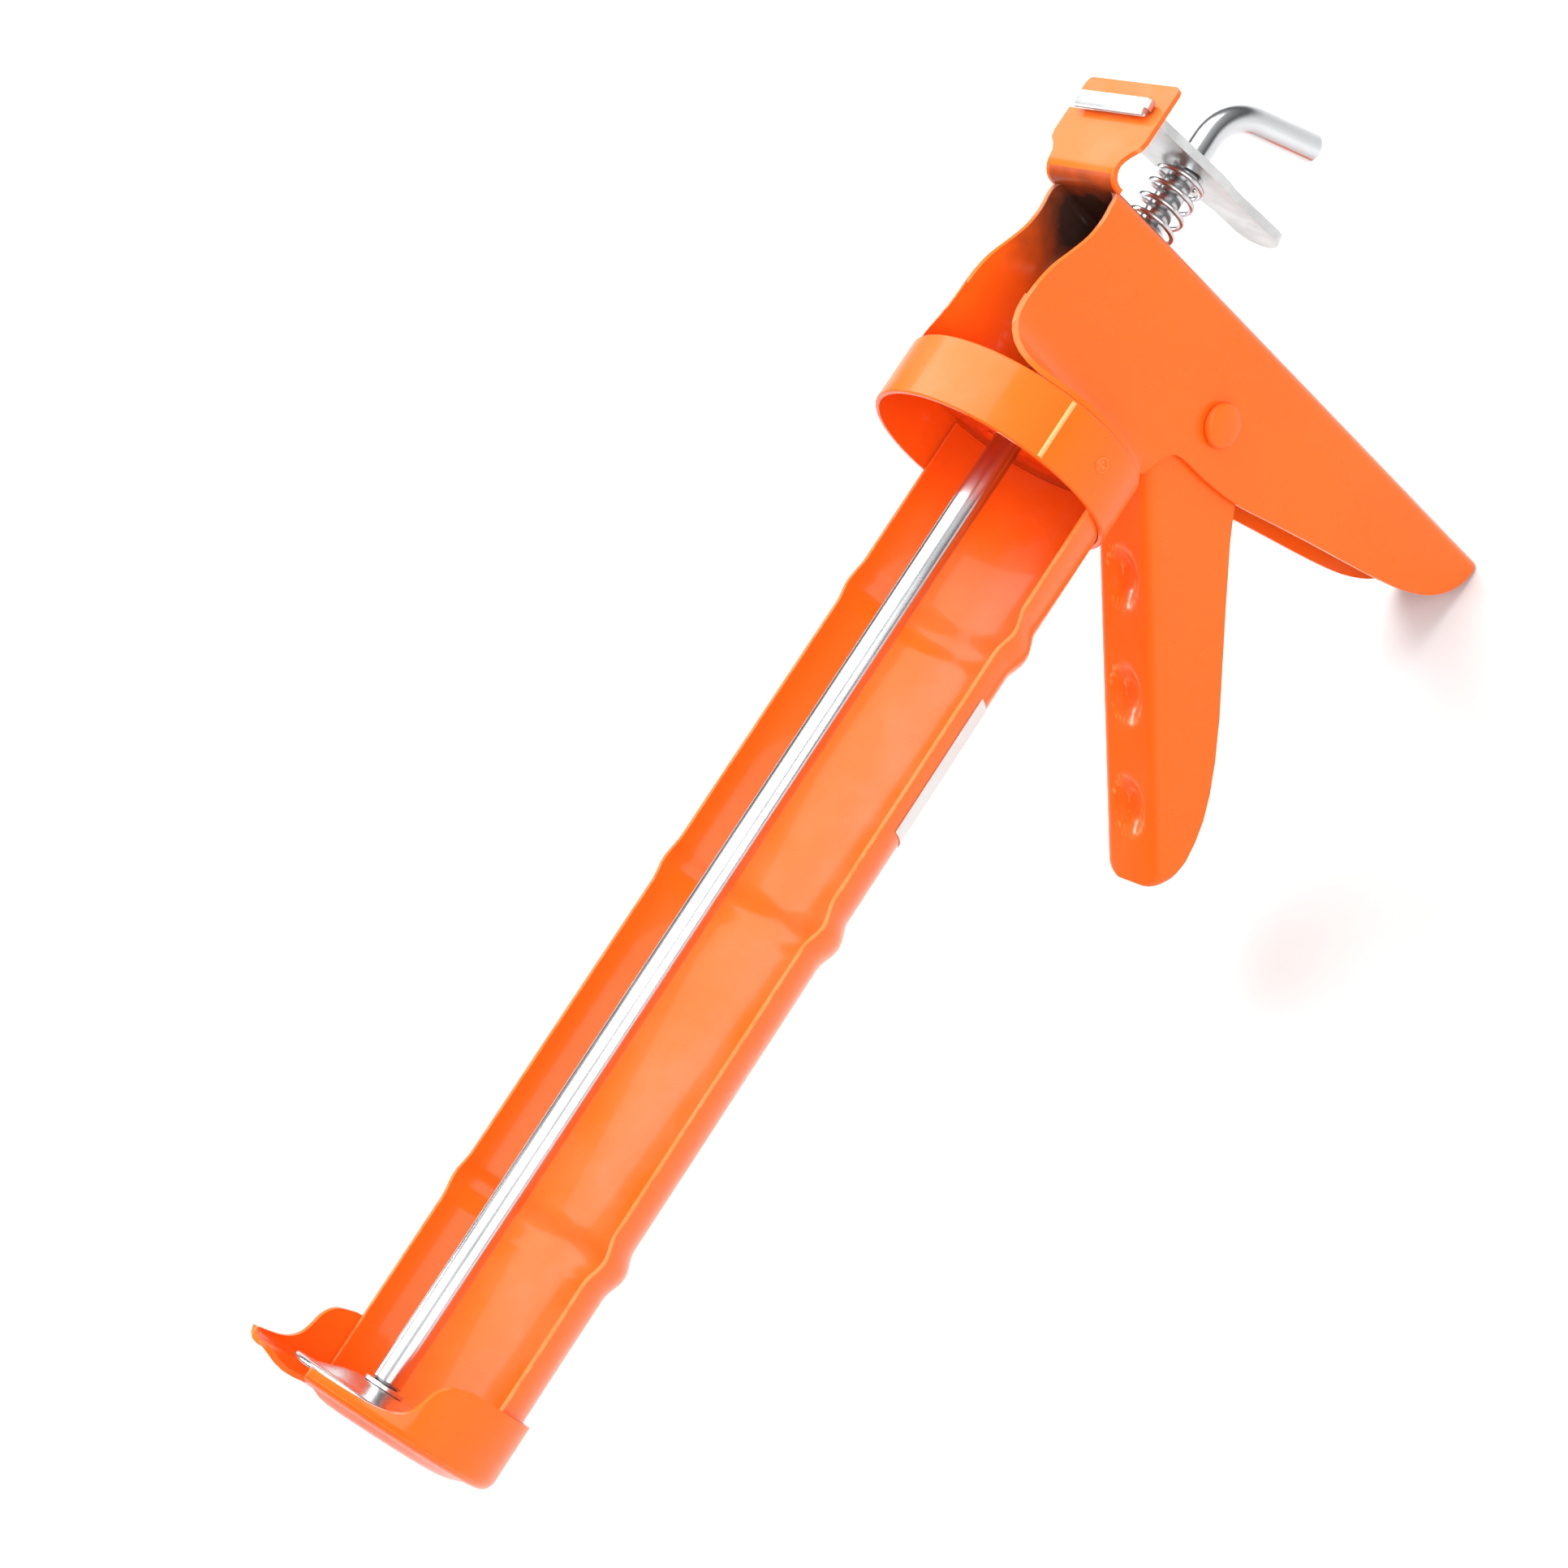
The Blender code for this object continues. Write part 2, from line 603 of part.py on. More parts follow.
def build_nut():
    """Hexagon nut, 8 mm across flats, chamfered on both faces."""
    low = DISC_X + DISC_SHEET + 0.1
    high = low + 3.5
    corner = 4.0 / math.cos(math.pi / 6)
    hexagon = [(corner * math.cos(math.pi / 3 * k), corner * math.sin(math.pi / 3 * k))
               for k in range(6)]
    nut = prism("nut", hexagon, "YZ", low, high)
    keep(nut, lathe("turn", [(low - 0.2, 0.0), (low - 0.2, 3.7), (low + 0.6, 5.0),
                             (high - 0.6, 5.0), (high + 0.2, 3.7), (high + 0.2, 0.0)], 36))
    return cut(nut, cylinder("thread", 2.55, low - 2, high + 2, steps=24))


def build_drive_plate():
    """Gripping plate on the rod, pushed forward by the trigger's arms."""
    outline = [(-8.2, -19.0), (-7.0, -20.4), (7.0, -20.4), (8.2, -19.0), (8.2, 7.0),
               (6.4, 10.2), (2.4, 11.6), (-2.4, 11.6), (-6.4, 10.2), (-8.2, 7.0)]
    plate = prism("drive", outline, "YZ", DRIVE_X, DRIVE_X + DRIVE_SHEET)
    return cut(plate, cylinder("bore", 3.65, -35, -20, steps=28))


def build_release_plate():
    """Thumb plate: wide head above the tab, shank through the slot, round-ended tongue."""
    head = 28.1 - PLATE_PIVOT[1]
    seat = 25.75 - PLATE_PIVOT[1]
    drop = PLATE_PIVOT[1]
    tongue = arc((1.3, -25.6 - drop), 5.65, 0, -180, 10)
    outline = [(-10.6, seat), (-10.9, seat + 0.5), (-10.9, head - 0.7), (-10.2, head),
               (10.2, head), (10.9, head - 0.7), (10.9, seat + 0.5), (10.6, seat),
               (8.3, seat), (8.3, -3.0 - drop), (8.0, -5.6 - drop), (7.15, -8.4 - drop)]
    outline += [(6.95, -12.0 - drop)] + tongue
    outline += [(-4.4, -15.0 - drop), (-5.3, -12.4 - drop), (-7.4, -9.6 - drop),
                (-8.2, -7.0 - drop), (-8.3, -4.0 - drop), (-8.3, seat)]
    plate = prism("release", outline, "YZ", -PLATE_SHEET / 2, PLATE_SHEET / 2)
    lip = smooth_curve([(0.0, head - 2.1), (0.0, head), (1.1, head + 0.0), (2.5, head - 0.35),
                        (2.7, head - 0.9), (1.5, head - 1.25)], 2)
    join(plate, prism("lip", lip, "XZ", -10.2, 10.2))
    cut(plate, cylinder("bore", 4.1, -5, 5, "X", (0, 0, -drop / math.cos(0.131)), 28))
    tilt = Matrix.Rotation(math.radians(PLATE_TILT_DEG), 4, "Y")
    move = Matrix.Translation(Vector((PLATE_PIVOT[0], 0, PLATE_PIVOT[1])) * MM)
    plate.data.transform(move @ tilt)
    return plate


def build_spring(name, start, end, slopes, radius, wire, turns):
    """Coil between two leaning seats; slopes are each seat's X travel per mm of height."""
    per_turn = 16
    total = int(turns * per_turn)
    path = []
    for k in range(total + 1):
        angle = 2 * math.pi * k / per_turn
        y, z = radius * math.cos(angle), radius * math.sin(angle)
        done = k / total
        ease = min(max((done * turns - 0.6) / (turns - 1.2), 0.0), 1.0)
        lead = wire * 2.15 * min(done * turns, 0.6) / 0.6 * 0.5
        tail = wire * 2.15 * min((1 - done) * turns, 0.6) / 0.6 * 0.5
        low, high = start + slopes[0] * z, end + slopes[1] * z
        sign = 1.0 if end > start else -1.0
        base = low + (high - low) * ease
        path.append((base + sign * (lead * (1 - ease) - tail * ease), y, z))
    radii = [wire * 0.9] + [wire] * (total - 1) + [wire * 0.9]
    return sweep(name, path, radii, 8)


def build_label():
    """Blank sticker wrapped on the trough's left side."""
    low, high = -72.0, -25.0
    inner, outer = TROUGH_RADIUS + 0.1, TROUGH_RADIUS + 0.26
    section = arc((0, 0), outer, low, high, 18) + arc((0, 0), inner, high, low, 18)
    return rings("label", [[(x, y, z) for y, z in section] for x in (59.0, 70.0, 81.0, 92.0)])


# ---------------------------------------------------------------- assembly

def main():
    """Build every piece."""
    clear_scene()
    hinge = (PIVOT[0], 0.0, PIVOT[1])
    drop = PLATE_PIVOT[1]
    lean = math.tan(math.radians(PLATE_TILT_DEG))
    plate_face = PLATE_PIVOT[0] - drop * lean + PLATE_SHEET / 2
    pieces = [
        ("frame", build_frame(), PAINT, (0, 0, 0)),
        ("collar_ring", build_collar(), PAINT, (0, 0, 0)),
        ("barrel_trough", build_trough(), PAINT, (0, 0, 0)),
        ("front_cap", build_cap(), PAINT, (CAP_FACE, 0, 0)),
        ("guide_plate", build_guide_plate(), PAINT, (0, 0, 0)),
        ("label", build_label(), PAPER, (82.5, 0, 0)),
        ("trigger", build_trigger(), PAINT, hinge),
        ("trigger_rivet", build_rivet(), PAINT, hinge),
        ("rivet_bush", build_bush(), STEEL, hinge),
        ("push_rod", build_rod(), STEEL, (0, 0, 0)),
        ("plunger_disc", build_disc(), ZINC, (DISC_X, 0, 0)),
        ("plunger_washer", build_washer(), ZINC, (DISC_X, 0, 0)),
        ("plunger_nut", build_nut(), ZINC, (DISC_X, 0, 0)),
        ("drive_plate", build_drive_plate(), STEEL, (DRIVE_X, 0, 0)),
        ("drive_spring", build_spring("coil", DRIVE_X + DRIVE_SHEET + 0.9, -0.6, (0, 0),
                                      5.5, 0.6, 6.5), STEEL, (DRIVE_X, 0, 0)),
        ("release_plate", build_release_plate(), ZINC,
         (PLATE_PIVOT[0], 0, PLATE_PIVOT[1])),
        ("release_spring", build_spring("coil", WEB_X - 1.05, plate_face + 1.15,
                                        (WEB_LEAN, lean), 5.6, 0.7, 4.75), STEEL, (WEB_X, 0, 0)),
    ]
    for name, obj, look, pivot in pieces:
        finish(obj, name, make_material(name + "_material", look), pivot)


main()
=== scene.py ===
"""Looks for a half-barrel caulking gun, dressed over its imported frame.

Every sub-assembly is a class. Its sizes are dataclass fields in metres, its methods build the
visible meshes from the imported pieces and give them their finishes. The gun stands level:
+X towards the nose, +Y to the gun's left, +Z up.
"""

from __future__ import annotations

import json
import logging
import math
from collections.abc import Callable, Iterable, Sequence
from dataclasses import dataclass, field
from enum import Enum

import bmesh
import bpy
from mathutils import Matrix, Vector

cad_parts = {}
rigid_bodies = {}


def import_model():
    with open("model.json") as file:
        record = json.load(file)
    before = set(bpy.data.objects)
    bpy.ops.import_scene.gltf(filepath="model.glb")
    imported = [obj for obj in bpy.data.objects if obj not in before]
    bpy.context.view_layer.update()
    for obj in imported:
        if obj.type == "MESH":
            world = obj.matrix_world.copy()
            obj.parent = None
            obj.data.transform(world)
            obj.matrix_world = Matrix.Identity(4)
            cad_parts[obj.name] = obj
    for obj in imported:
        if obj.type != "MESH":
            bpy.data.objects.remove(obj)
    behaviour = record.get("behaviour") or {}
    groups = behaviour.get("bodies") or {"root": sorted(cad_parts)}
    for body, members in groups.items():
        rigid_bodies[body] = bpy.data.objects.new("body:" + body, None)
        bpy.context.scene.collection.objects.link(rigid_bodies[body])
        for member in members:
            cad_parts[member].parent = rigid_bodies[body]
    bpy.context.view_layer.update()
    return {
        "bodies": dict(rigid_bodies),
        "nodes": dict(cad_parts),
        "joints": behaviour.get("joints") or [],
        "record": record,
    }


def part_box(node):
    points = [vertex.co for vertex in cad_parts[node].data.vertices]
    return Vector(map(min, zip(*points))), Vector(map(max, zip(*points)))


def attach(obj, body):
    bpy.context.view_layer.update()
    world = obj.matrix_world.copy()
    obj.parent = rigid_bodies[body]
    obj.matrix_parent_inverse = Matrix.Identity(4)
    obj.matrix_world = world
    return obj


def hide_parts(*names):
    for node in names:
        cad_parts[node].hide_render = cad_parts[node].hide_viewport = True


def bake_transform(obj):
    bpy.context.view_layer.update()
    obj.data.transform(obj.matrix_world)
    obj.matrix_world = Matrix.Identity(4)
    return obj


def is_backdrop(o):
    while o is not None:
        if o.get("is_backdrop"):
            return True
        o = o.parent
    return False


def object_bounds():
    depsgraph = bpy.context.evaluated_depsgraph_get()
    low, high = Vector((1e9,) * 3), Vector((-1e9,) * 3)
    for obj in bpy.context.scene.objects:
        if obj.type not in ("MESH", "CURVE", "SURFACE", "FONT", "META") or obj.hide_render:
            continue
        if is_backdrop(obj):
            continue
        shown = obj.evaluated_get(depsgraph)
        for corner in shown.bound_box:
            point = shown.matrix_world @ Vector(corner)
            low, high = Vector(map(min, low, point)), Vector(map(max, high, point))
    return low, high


LOG = logging.getLogger("caulking_gun")

MERGE_DISTANCE = 2e-6
FLAT_DEG = 0.4
SHARP_DEG = 38.0
ROUND_DEG = 60.0
WIRE_LEVELS = 2
EDGE_SEGMENTS = 2
EDGE_ROUND = 0.00025
# Threshold of the edge mask that paints edges lighter: partly a painted highlight, partly edge
# wear.
EDGE_WEAR_HIGHLIGHT_START = 0.014

Colour = tuple[float, float, float]


class Body(str, Enum):
    """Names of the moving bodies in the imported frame."""

    GUN = "gun"
    TRIGGER = "trigger"
    DRIVER = "driver"
    PLUNGER = "plunger"
    ROD = "rod"
    RELEASE = "release"


class Slot(str, Enum):
    """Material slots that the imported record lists."""

    PAINT = "paint"
    BRIGHT_STEEL = "bright_steel"
    STEEL = "steel"
    ZINC = "zinc"
    LABEL = "label"


# ------------------------------------------------------------------ shader building


def mix_colours(tree: bpy.types.NodeTree, factor: bpy.types.NodeSocket, first: object,
                second: object) -> bpy.types.NodeSocket:
    """Mix two colours by a mask.

    Args:
        tree: The node tree that takes the Mix node.
        factor: The mask.
        first: A socket or colour where the mask is 0.
        second: A socket or colour where the mask is 1.

    Returns:
        The mixed colour.
    """
    made = tree.nodes.new("ShaderNodeMix")
    made.data_type = "RGBA"
    tree.links.new(factor, made.inputs["Factor"])
    for name, value in (("A", first), ("B", second)):
        socket = next(s for s in made.inputs if s.name == name and s.type == "RGBA")
        if isinstance(value, bpy.types.NodeSocket):
            tree.links.new(value, socket)
        else:
            socket.default_value = (*value, 1.0)
    return next(s for s in made.outputs if s.type == "RGBA")


class NodeGroup:
    """A shader node group under construction, with named sockets."""

    def __init__(self, name: str) -> None:
        """Start an empty group.

        Args:
            name: The group's name.
        """
        self.tree = bpy.data.node_groups.new(name, "ShaderNodeTree")
        self.source = self.tree.nodes.new("NodeGroupInput")
        self.sink = self.tree.nodes.new("NodeGroupOutput")

    def number(self, name: str, value: float) -> bpy.types.NodeSocket:
        """Add a number input and return its socket inside the group."""
        self.tree.interface.new_socket(name, in_out="INPUT", socket_type="NodeSocketFloat")
        self.tree.interface.items_tree[name].default_value = value
        return self.source.outputs[name]

    def colour(self, name: str, value: Colour) -> bpy.types.NodeSocket:
        """Add a colour input and return its socket inside the group."""
        self.tree.interface.new_socket(name, in_out="INPUT", socket_type="NodeSocketColor")
        self.tree.interface.items_tree[name].default_value = (*value, 1.0)
        return self.source.outputs[name]

    def result(self, name: str, socket: bpy.types.NodeSocket, kind: str = "Float") -> None:
        """Publish a socket as one of the group's outputs."""
        self.tree.interface.new_socket(name, in_out="OUTPUT", socket_type=f"NodeSocket{kind}")
        self.tree.links.new(socket, self.sink.inputs[name])

    def node(self, kind: str, **settings: object) -> bpy.types.Node:
        """Add a node to the group.

        Args:
            kind: Blender's node type.
            **settings: Attributes set on the node.

        Returns:
            The new node.
        """
        made = self.tree.nodes.new(kind)
        for key, value in settings.items():
            setattr(made, key, value)
        return made

    def join(self, start: bpy.types.NodeSocket, end: bpy.types.NodeSocket) -> None:
        """Link one socket to another."""
        self.tree.links.new(start, end)

    def maths(self, operation: str, first: object, second: object) -> bpy.types.NodeSocket:
        """Combine two sockets or numbers with a Math node.

        Args:
            operation: The Math node's operation.
            first: A socket or a number.
            second: A socket or a number.

        Returns:
            The node's output.
        """
        made = self.node("ShaderNodeMath", operation=operation)
        for index, value in enumerate((first, second)):
            if isinstance(value, bpy.types.NodeSocket):
                self.join(value, made.inputs[index])
            else:
                made.inputs[index].default_value = value
        return made.outputs[0]

    def noise(self, scale: object, detail: float = 4.0,
              stretch: tuple[float, float, float] = (1.0, 1.0, 1.0)) -> bpy.types.NodeSocket:
        """Noise over object space.

        Args:
            scale: A socket or number, in repeats for each metre.
            detail: Octaves.
            stretch: Scaling of each axis before the noise.

        Returns:
            The noise factor, from 0 to 1.
        """
        place = self.node("ShaderNodeTexCoord")
        mapping = self.node("ShaderNodeMapping")
        mapping.inputs["Scale"].default_value = stretch
        texture = self.node("ShaderNodeTexNoise")
        texture.inputs["Detail"].default_value = detail
        self.join(place.outputs["Object"], mapping.inputs["Vector"])
        self.join(mapping.outputs["Vector"], texture.inputs["Vector"])
        if isinstance(scale, bpy.types.NodeSocket):
            self.join(scale, texture.inputs["Scale"])
        else:
            texture.inputs["Scale"].default_value = scale
        return texture.outputs["Fac"]

    def remap(self, value: bpy.types.NodeSocket, low: float, high: float) -> bpy.types.NodeSocket:
        """Map a range of a value onto 0 to 1, clamped.

        Args:
            value: The socket to map.
            low: The value that becomes 0.
            high: The value that becomes 1.

        Returns:
            The mapped socket.
        """
        made = self.node("ShaderNodeMapRange")
        made.inputs["From Min"].default_value = low
        made.inputs["From Max"].default_value = high
        self.join(value, made.inputs["Value"])
        return made.outputs["Result"]

    def mix(self, factor: bpy.types.NodeSocket, first: object, second: object
            ) -> bpy.types.NodeSocket:
        """Mix two colours by a mask inside the group."""
        return mix_colours(self.tree, factor, first, second)


class Effects:
    """The effects that several finishes share, each a node group built once."""

    def __init__(self) -> None:
        """Build every shared effect."""
        self.cloud = self._cloud()
        self.peel = self._peel()
        self.edge_wear_highlight = self._edge_wear_highlight()
        self.drawn = self._drawn()
        self.spangle = self._spangle()
        self.dust = self._dust()
        self.hollow = self._hollow()

    @staticmethod
    def _cloud() -> bpy.types.ShaderNodeTree:
        """Slow colour drift between two tones, as uneven film thickness gives."""
        group = NodeGroup("FilmCloud")
        main = group.colour("Main", (0.8, 0.1, 0.01))
        deep = group.colour("Deep", (0.6, 0.06, 0.01))
        scale = group.number("Scale", 26.0)
        amount = group.number("Amount", 0.35)
        fine_scale, fine_share = 640.0, 0.12
        slow = group.remap(group.noise(scale, 3.0), 0.38, 0.68)
        fine = group.remap(group.noise(fine_scale, 2.0), 0.35, 0.75)
        both = group.maths("MULTIPLY_ADD", fine, fine_share)
        group.join(slow, both.node.inputs[2])
        factor = group.maths("MULTIPLY", both, amount)
        group.result("Colour", group.mix(factor, main, deep), "Color")
        return group.tree

    @staticmethod
    def _peel() -> bpy.types.ShaderNodeTree:
        """Orange peel and fine grit in a sprayed film."""
        group = NodeGroup("OrangePeel")
        scale = group.number("Scale", 700.0)
        grit = group.number("Grit", 0.25)
        base = group.number("Roughness", 0.3)
        spread = group.number("Roughness Spread", 0.1)
        speck_scale, haze_scale = 2600.0, 38.0
        waves = group.noise(scale, 2.0)
        specks = group.remap(group.noise(speck_scale, 1.0), 0.60, 0.78)
        height = group.maths("MULTIPLY_ADD", specks, grit)
        group.join(waves, height.node.inputs[2])
        haze = group.remap(group.noise(haze_scale, 5.0), 0.30, 0.72)
        rough = group.maths("MULTIPLY_ADD", haze, spread)
        group.join(base, rough.node.inputs[2])
        group.result("Height", height)
        group.result("Roughness", rough)
        return group.tree

    @staticmethod
    def _edge_wear_highlight() -> bpy.types.ShaderNodeTree:
        """Mask of rounded edges, where a lighter colour is painted: partly a painted highlight,
        partly edge wear, broken up by noise.
        """
        group = NodeGroup("EdgeWearAndHighlight")
        start = group.number("Start", EDGE_WEAR_HIGHLIGHT_START)
        amount = group.number("Amount", 0.6)
        gain, chip_scale = 60.0, 420.0
        geometry = group.node("ShaderNodeNewGeometry")
        dot = group.node("ShaderNodeVectorMath", operation="DOT_PRODUCT")
        group.join(geometry.outputs["Normal"], dot.inputs[0])
        group.join(geometry.outputs["True Normal"], dot.inputs[1])
        turned = group.maths("SUBTRACT", 1.0, dot.outputs["Value"])
        over = group.maths("SUBTRACT", turned, start)
        steep = group.node("ShaderNodeMath", operation="MULTIPLY", use_clamp=True)
        steep.inputs[1].default_value = gain
        group.join(over, steep.inputs[0])
        broken = group.remap(group.noise(chip_scale, 6.0), 0.30, 0.58)
        worn_and_highlit = group.maths("MULTIPLY", steep.outputs[0], broken)
        group.result("Mask", group.maths("MULTIPLY", worn_and_highlit, amount))
        return group.tree

    @staticmethod
    def _drawn() -> bpy.types.ShaderNodeTree:
        """Lengthwise lines and sliding scuffs on drawn bar."""
        group = NodeGroup("DrawnBar")
        strength = group.number("Strength", 1.0)
        line_scale, scuff_scale = 1500.0, 90.0
        lengthwise, dragged, around = (0.012, 1.0, 1.0), (0.25, 1.0, 1.0), (900.0, 14.0, 14.0)
        lines = group.noise(line_scale, 3.0, lengthwise)
        scuffs = group.remap(group.noise(scuff_scale, 6.0, dragged), 0.55, 0.74)
        rings = group.remap(group.noise(1.0, 4.0, around), 0.60, 0.80)
        marks = group.maths("MULTIPLY", scuffs, rings)
        group.result("Height", group.maths("MULTIPLY", lines, strength))
        group.result("Scuff", group.maths("MULTIPLY", marks, strength))
        return group.tree

    @staticmethod
    def _spangle() -> bpy.types.ShaderNodeTree:
        """Small cloudy patches of bright zinc plate, with faint stains."""
        group = NodeGroup("ZincBloom")
        light = group.colour("Light", (0.78, 0.79, 0.80))
        dull = group.colour("Dull", (0.60, 0.61, 0.60))
        stain = group.colour("Stain", (0.56, 0.50, 0.40))
        scale = group.number("Scale", 130.0)
        stain_scale, stain_share = 210.0, 0.4
        patches = group.remap(group.noise(scale, 6.0), 0.36, 0.66)
        spots = group.remap(group.noise(stain_scale, 3.0), 0.68, 0.80)
        toned = group.mix(patches, light, dull)
        faint = group.maths("MULTIPLY", spots, stain_share)
        group.result("Colour", group.mix(faint, toned, stain), "Color")
        return group.tree

    @staticmethod
    def _dust() -> bpy.types.ShaderNodeTree:
        """Thin dust on faces that look upward."""
        group = NodeGroup("SettledDust")
        under = group.colour("Under", (0.8, 0.1, 0.01))
        amount = group.number("Amount", 0.08)
        geometry = group.node("ShaderNodeNewGeometry")
        split = group.node("ShaderNodeSeparateXYZ")
        group.join(geometry.outputs["Normal"], split.inputs[0])
        patch_scale, grey = 75.0, (0.80, 0.77, 0.72)
        up = group.remap(split.outputs["Z"], 0.55, 1.0)
        patchy = group.remap(group.noise(patch_scale, 5.0), 0.40, 0.75)
        film = group.maths("MULTIPLY", up, patchy)
        mask = group.maths("MULTIPLY", film, amount)
        group.result("Colour", group.mix(mask, under, grey), "Color")
        return group.tree

    @staticmethod
    def _hollow() -> bpy.types.ShaderNodeTree:
        """Mask of the deep inside of a channel along X and Z, for painted shade where the walls
        keep the light out.
        """
        group = NodeGroup("HollowShadeMask")
        centre_x = group.number("Centre X", 0.0)
        centre_z = group.number("Centre Z", 0.0)
        wall = group.number("Half Width", 0.009)
        back = group.number("Back X", 0.0)
        clear, full = 0.030, 0.012
        ragged_scale, ragged_reach = 180.0, 0.010
        place = group.node("ShaderNodeTexCoord")
        split = group.node("ShaderNodeSeparateXYZ")
        group.join(place.outputs["Object"], split.inputs[0])
        across = group.maths("SUBTRACT", split.outputs["X"], centre_x)
        rise = group.maths("SUBTRACT", split.outputs["Z"], centre_z)
        squares = group.maths("ADD", group.maths("MULTIPLY", across, across),
                              group.maths("MULTIPLY", rise, rise))
        away = group.maths("SQRT", squares, 0.0)
        ragged = group.maths("MULTIPLY_ADD", group.noise(ragged_scale, 5.0), ragged_reach)
        group.join(away, ragged.node.inputs[2])
        near = group.remap(ragged, clear, full)
        sideways = group.maths("ABSOLUTE", split.outputs["Y"], 0.0)
        inside = group.maths("LESS_THAN", sideways, wall)
        ahead = group.maths("GREATER_THAN", split.outputs["X"], back)
        both = group.maths("MULTIPLY", inside, ahead)
        group.result("Mask", group.maths("MULTIPLY", both, near))
        return group.tree


class Shader:
    """One material: its Principled shader and the effect groups placed in it."""

    def __init__(self, name: str, roughness: float, metallic: float) -> None:
        """Start a material with a bare Principled shader.

        Args:
            name: The material's name.
            Start a material with a plain Principled shader.
            metallic: The plain metallic value.
        """
        self.material = bpy.data.materials.new(name)
        self.material.use_nodes = True
        self.tree = self.material.node_tree
        self.principled = self.tree.nodes["Principled BSDF"]
        self.set("Roughness", roughness)
        self.set("Metallic", metallic)

    def set(self, socket: str, value: object) -> None:
        """Set a constant on the Principled shader."""
        self.principled.inputs[socket].default_value = value

    def place(self, group: bpy.types.ShaderNodeTree, **values: object) -> bpy.types.Node:
        """Place an effect group.

        Args:
            group: The effect.
            **values: Input values, with underscores for the spaces in socket names.

        Returns:
            The group node.
        """
        node = self.tree.nodes.new("ShaderNodeGroup")
        node.node_tree = group
        for key, value in values.items():
            socket = node.inputs[key.replace("_", " ")]
            if isinstance(value, bpy.types.NodeSocket):
                self.tree.links.new(value, socket)
            elif isinstance(value, tuple):
                socket.default_value = (*value, 1.0)
            else:
                socket.default_value = value
        return node

    def feed(self, socket: str, source: bpy.types.NodeSocket) -> None:
        """Drive one of the Principled shader's sockets."""
        self.tree.links.new(source, self.principled.inputs[socket])

    def mix(self, factor: bpy.types.NodeSocket, first: object, second: object
            ) -> bpy.types.NodeSocket:
        """Mix two colours by a mask inside the material."""
        return mix_colours(self.tree, factor, first, second)

    def relief(self, height: bpy.types.NodeSocket, distance: float, strength: float) -> None:
        """Turn a height into the shader's normal.

        Args:
            height: The height socket.
            distance: Depth of a full step, in metres.
            strength: Share of the effect.
        """
        bump = self.tree.nodes.new("ShaderNodeBump")
        bump.inputs["Distance"].default_value = distance
        bump.inputs["Strength"].default_value = strength
        self.tree.links.new(height, bump.inputs["Height"])
        self.tree.links.new(bump.outputs["Normal"], self.principled.inputs["Normal"])


    def grain(self, effects: Effects, grain: Grain, roughness: float,
              height: bpy.types.NodeSocket | None = None) -> None:
        """Give the surface its fine relief and its uneven roughness.

        Args:
            effects: The shared node groups.
            grain: The relief and the roughness spread.
            roughness: The plain roughness.
            height: A height that takes the place of the grain's own.
        """
        peel = self.place(effects.peel, Scale=grain.scale, Grit=grain.grit,
                          Roughness=roughness, Roughness_Spread=grain.spread)
        self.feed("Roughness", peel.outputs["Roughness"])
        self.relief(peel.outputs["Height"] if height is None else height, grain.depth,
                    grain.strength)


@dataclass(frozen=True)
class Grain:
    """Fine relief of a surface, with its lengths in metres."""

    scale: float
    grit: float
    spread: float
    depth: float
    strength: float


# ------------------------------------------------------------------ finishes


@dataclass(frozen=True)
class Enamel:
    """Glossy orange enamel sprayed on sheet steel."""

    name: str = "orange_enamel"
    main: Colour = (0.90, 0.124, 0.008)
    deep: Colour = (0.80, 0.088, 0.005)
    # Lighter orange on rounded edges: partly a painted highlight, partly edge wear.
    worn_and_highlit: Colour = (0.96, 0.30, 0.09)
    cloud_scale: float = 30.0
    cloud_amount: float = 0.16
    grain: Grain = Grain(620.0, 0.35, 0.12, 0.000022, 0.9)
    roughness: float = 0.24
    edge_wear_highlight: float = 0.75
    dust: float = 0.05
    coat: float = 0.14
    coat_roughness: float = 0.06
    specular: float = 0.13
    # Painted shade: a near-black brown standing in for the shade deep inside the frame's channel.
    painted_shade: Colour = (0.045, 0.022, 0.016)
    hollow_at: tuple[float, float] | None = None
    hollow_wall: float = 0.0094
    hollow_back: float = 0.0

    def build(self, effects: Effects) -> bpy.types.Material:
        """Make the material.

        Args:
            effects: The shared node groups.

        Returns:
            The finished material.
        """
        shader = Shader(self.name, self.roughness, 0.0)
        cloud = shader.place(effects.cloud, Main=self.main, Deep=self.deep,
                             Scale=self.cloud_scale, Amount=self.cloud_amount)
        # Rounded edges turn lighter orange: partly a painted highlight along the edges, partly
        # edge wear.
        edge_wear_highlight = shader.place(effects.edge_wear_highlight, Start=EDGE_WEAR_HIGHLIGHT_START, Amount=self.edge_wear_highlight)
        worn_and_highlit = shader.mix(edge_wear_highlight.outputs["Mask"], cloud.outputs["Colour"], self.worn_and_highlit)
        dust = shader.place(effects.dust, Under=worn_and_highlit, Amount=self.dust)
        colour = dust.outputs["Colour"]
        # Painted shade: darkens the deep inside of the channel behind the tab, where the tab and
        # web cast shade.
        if self.hollow_at is not None:
            painted_shade_mask = shader.place(effects.hollow, Centre_X=self.hollow_at[0],
                                Centre_Z=self.hollow_at[1], Half_Width=self.hollow_wall,
                                Back_X=self.hollow_back)
            colour = shader.mix(painted_shade_mask.outputs["Mask"], colour, self.painted_shade)
        shader.feed("Base Color", colour)
        shader.grain(effects, self.grain, self.roughness)
        shader.set("Coat Weight", self.coat)
        shader.set("Coat Roughness", self.coat_roughness)
        shader.set("Specular IOR Level", self.specular)
        return shader.material


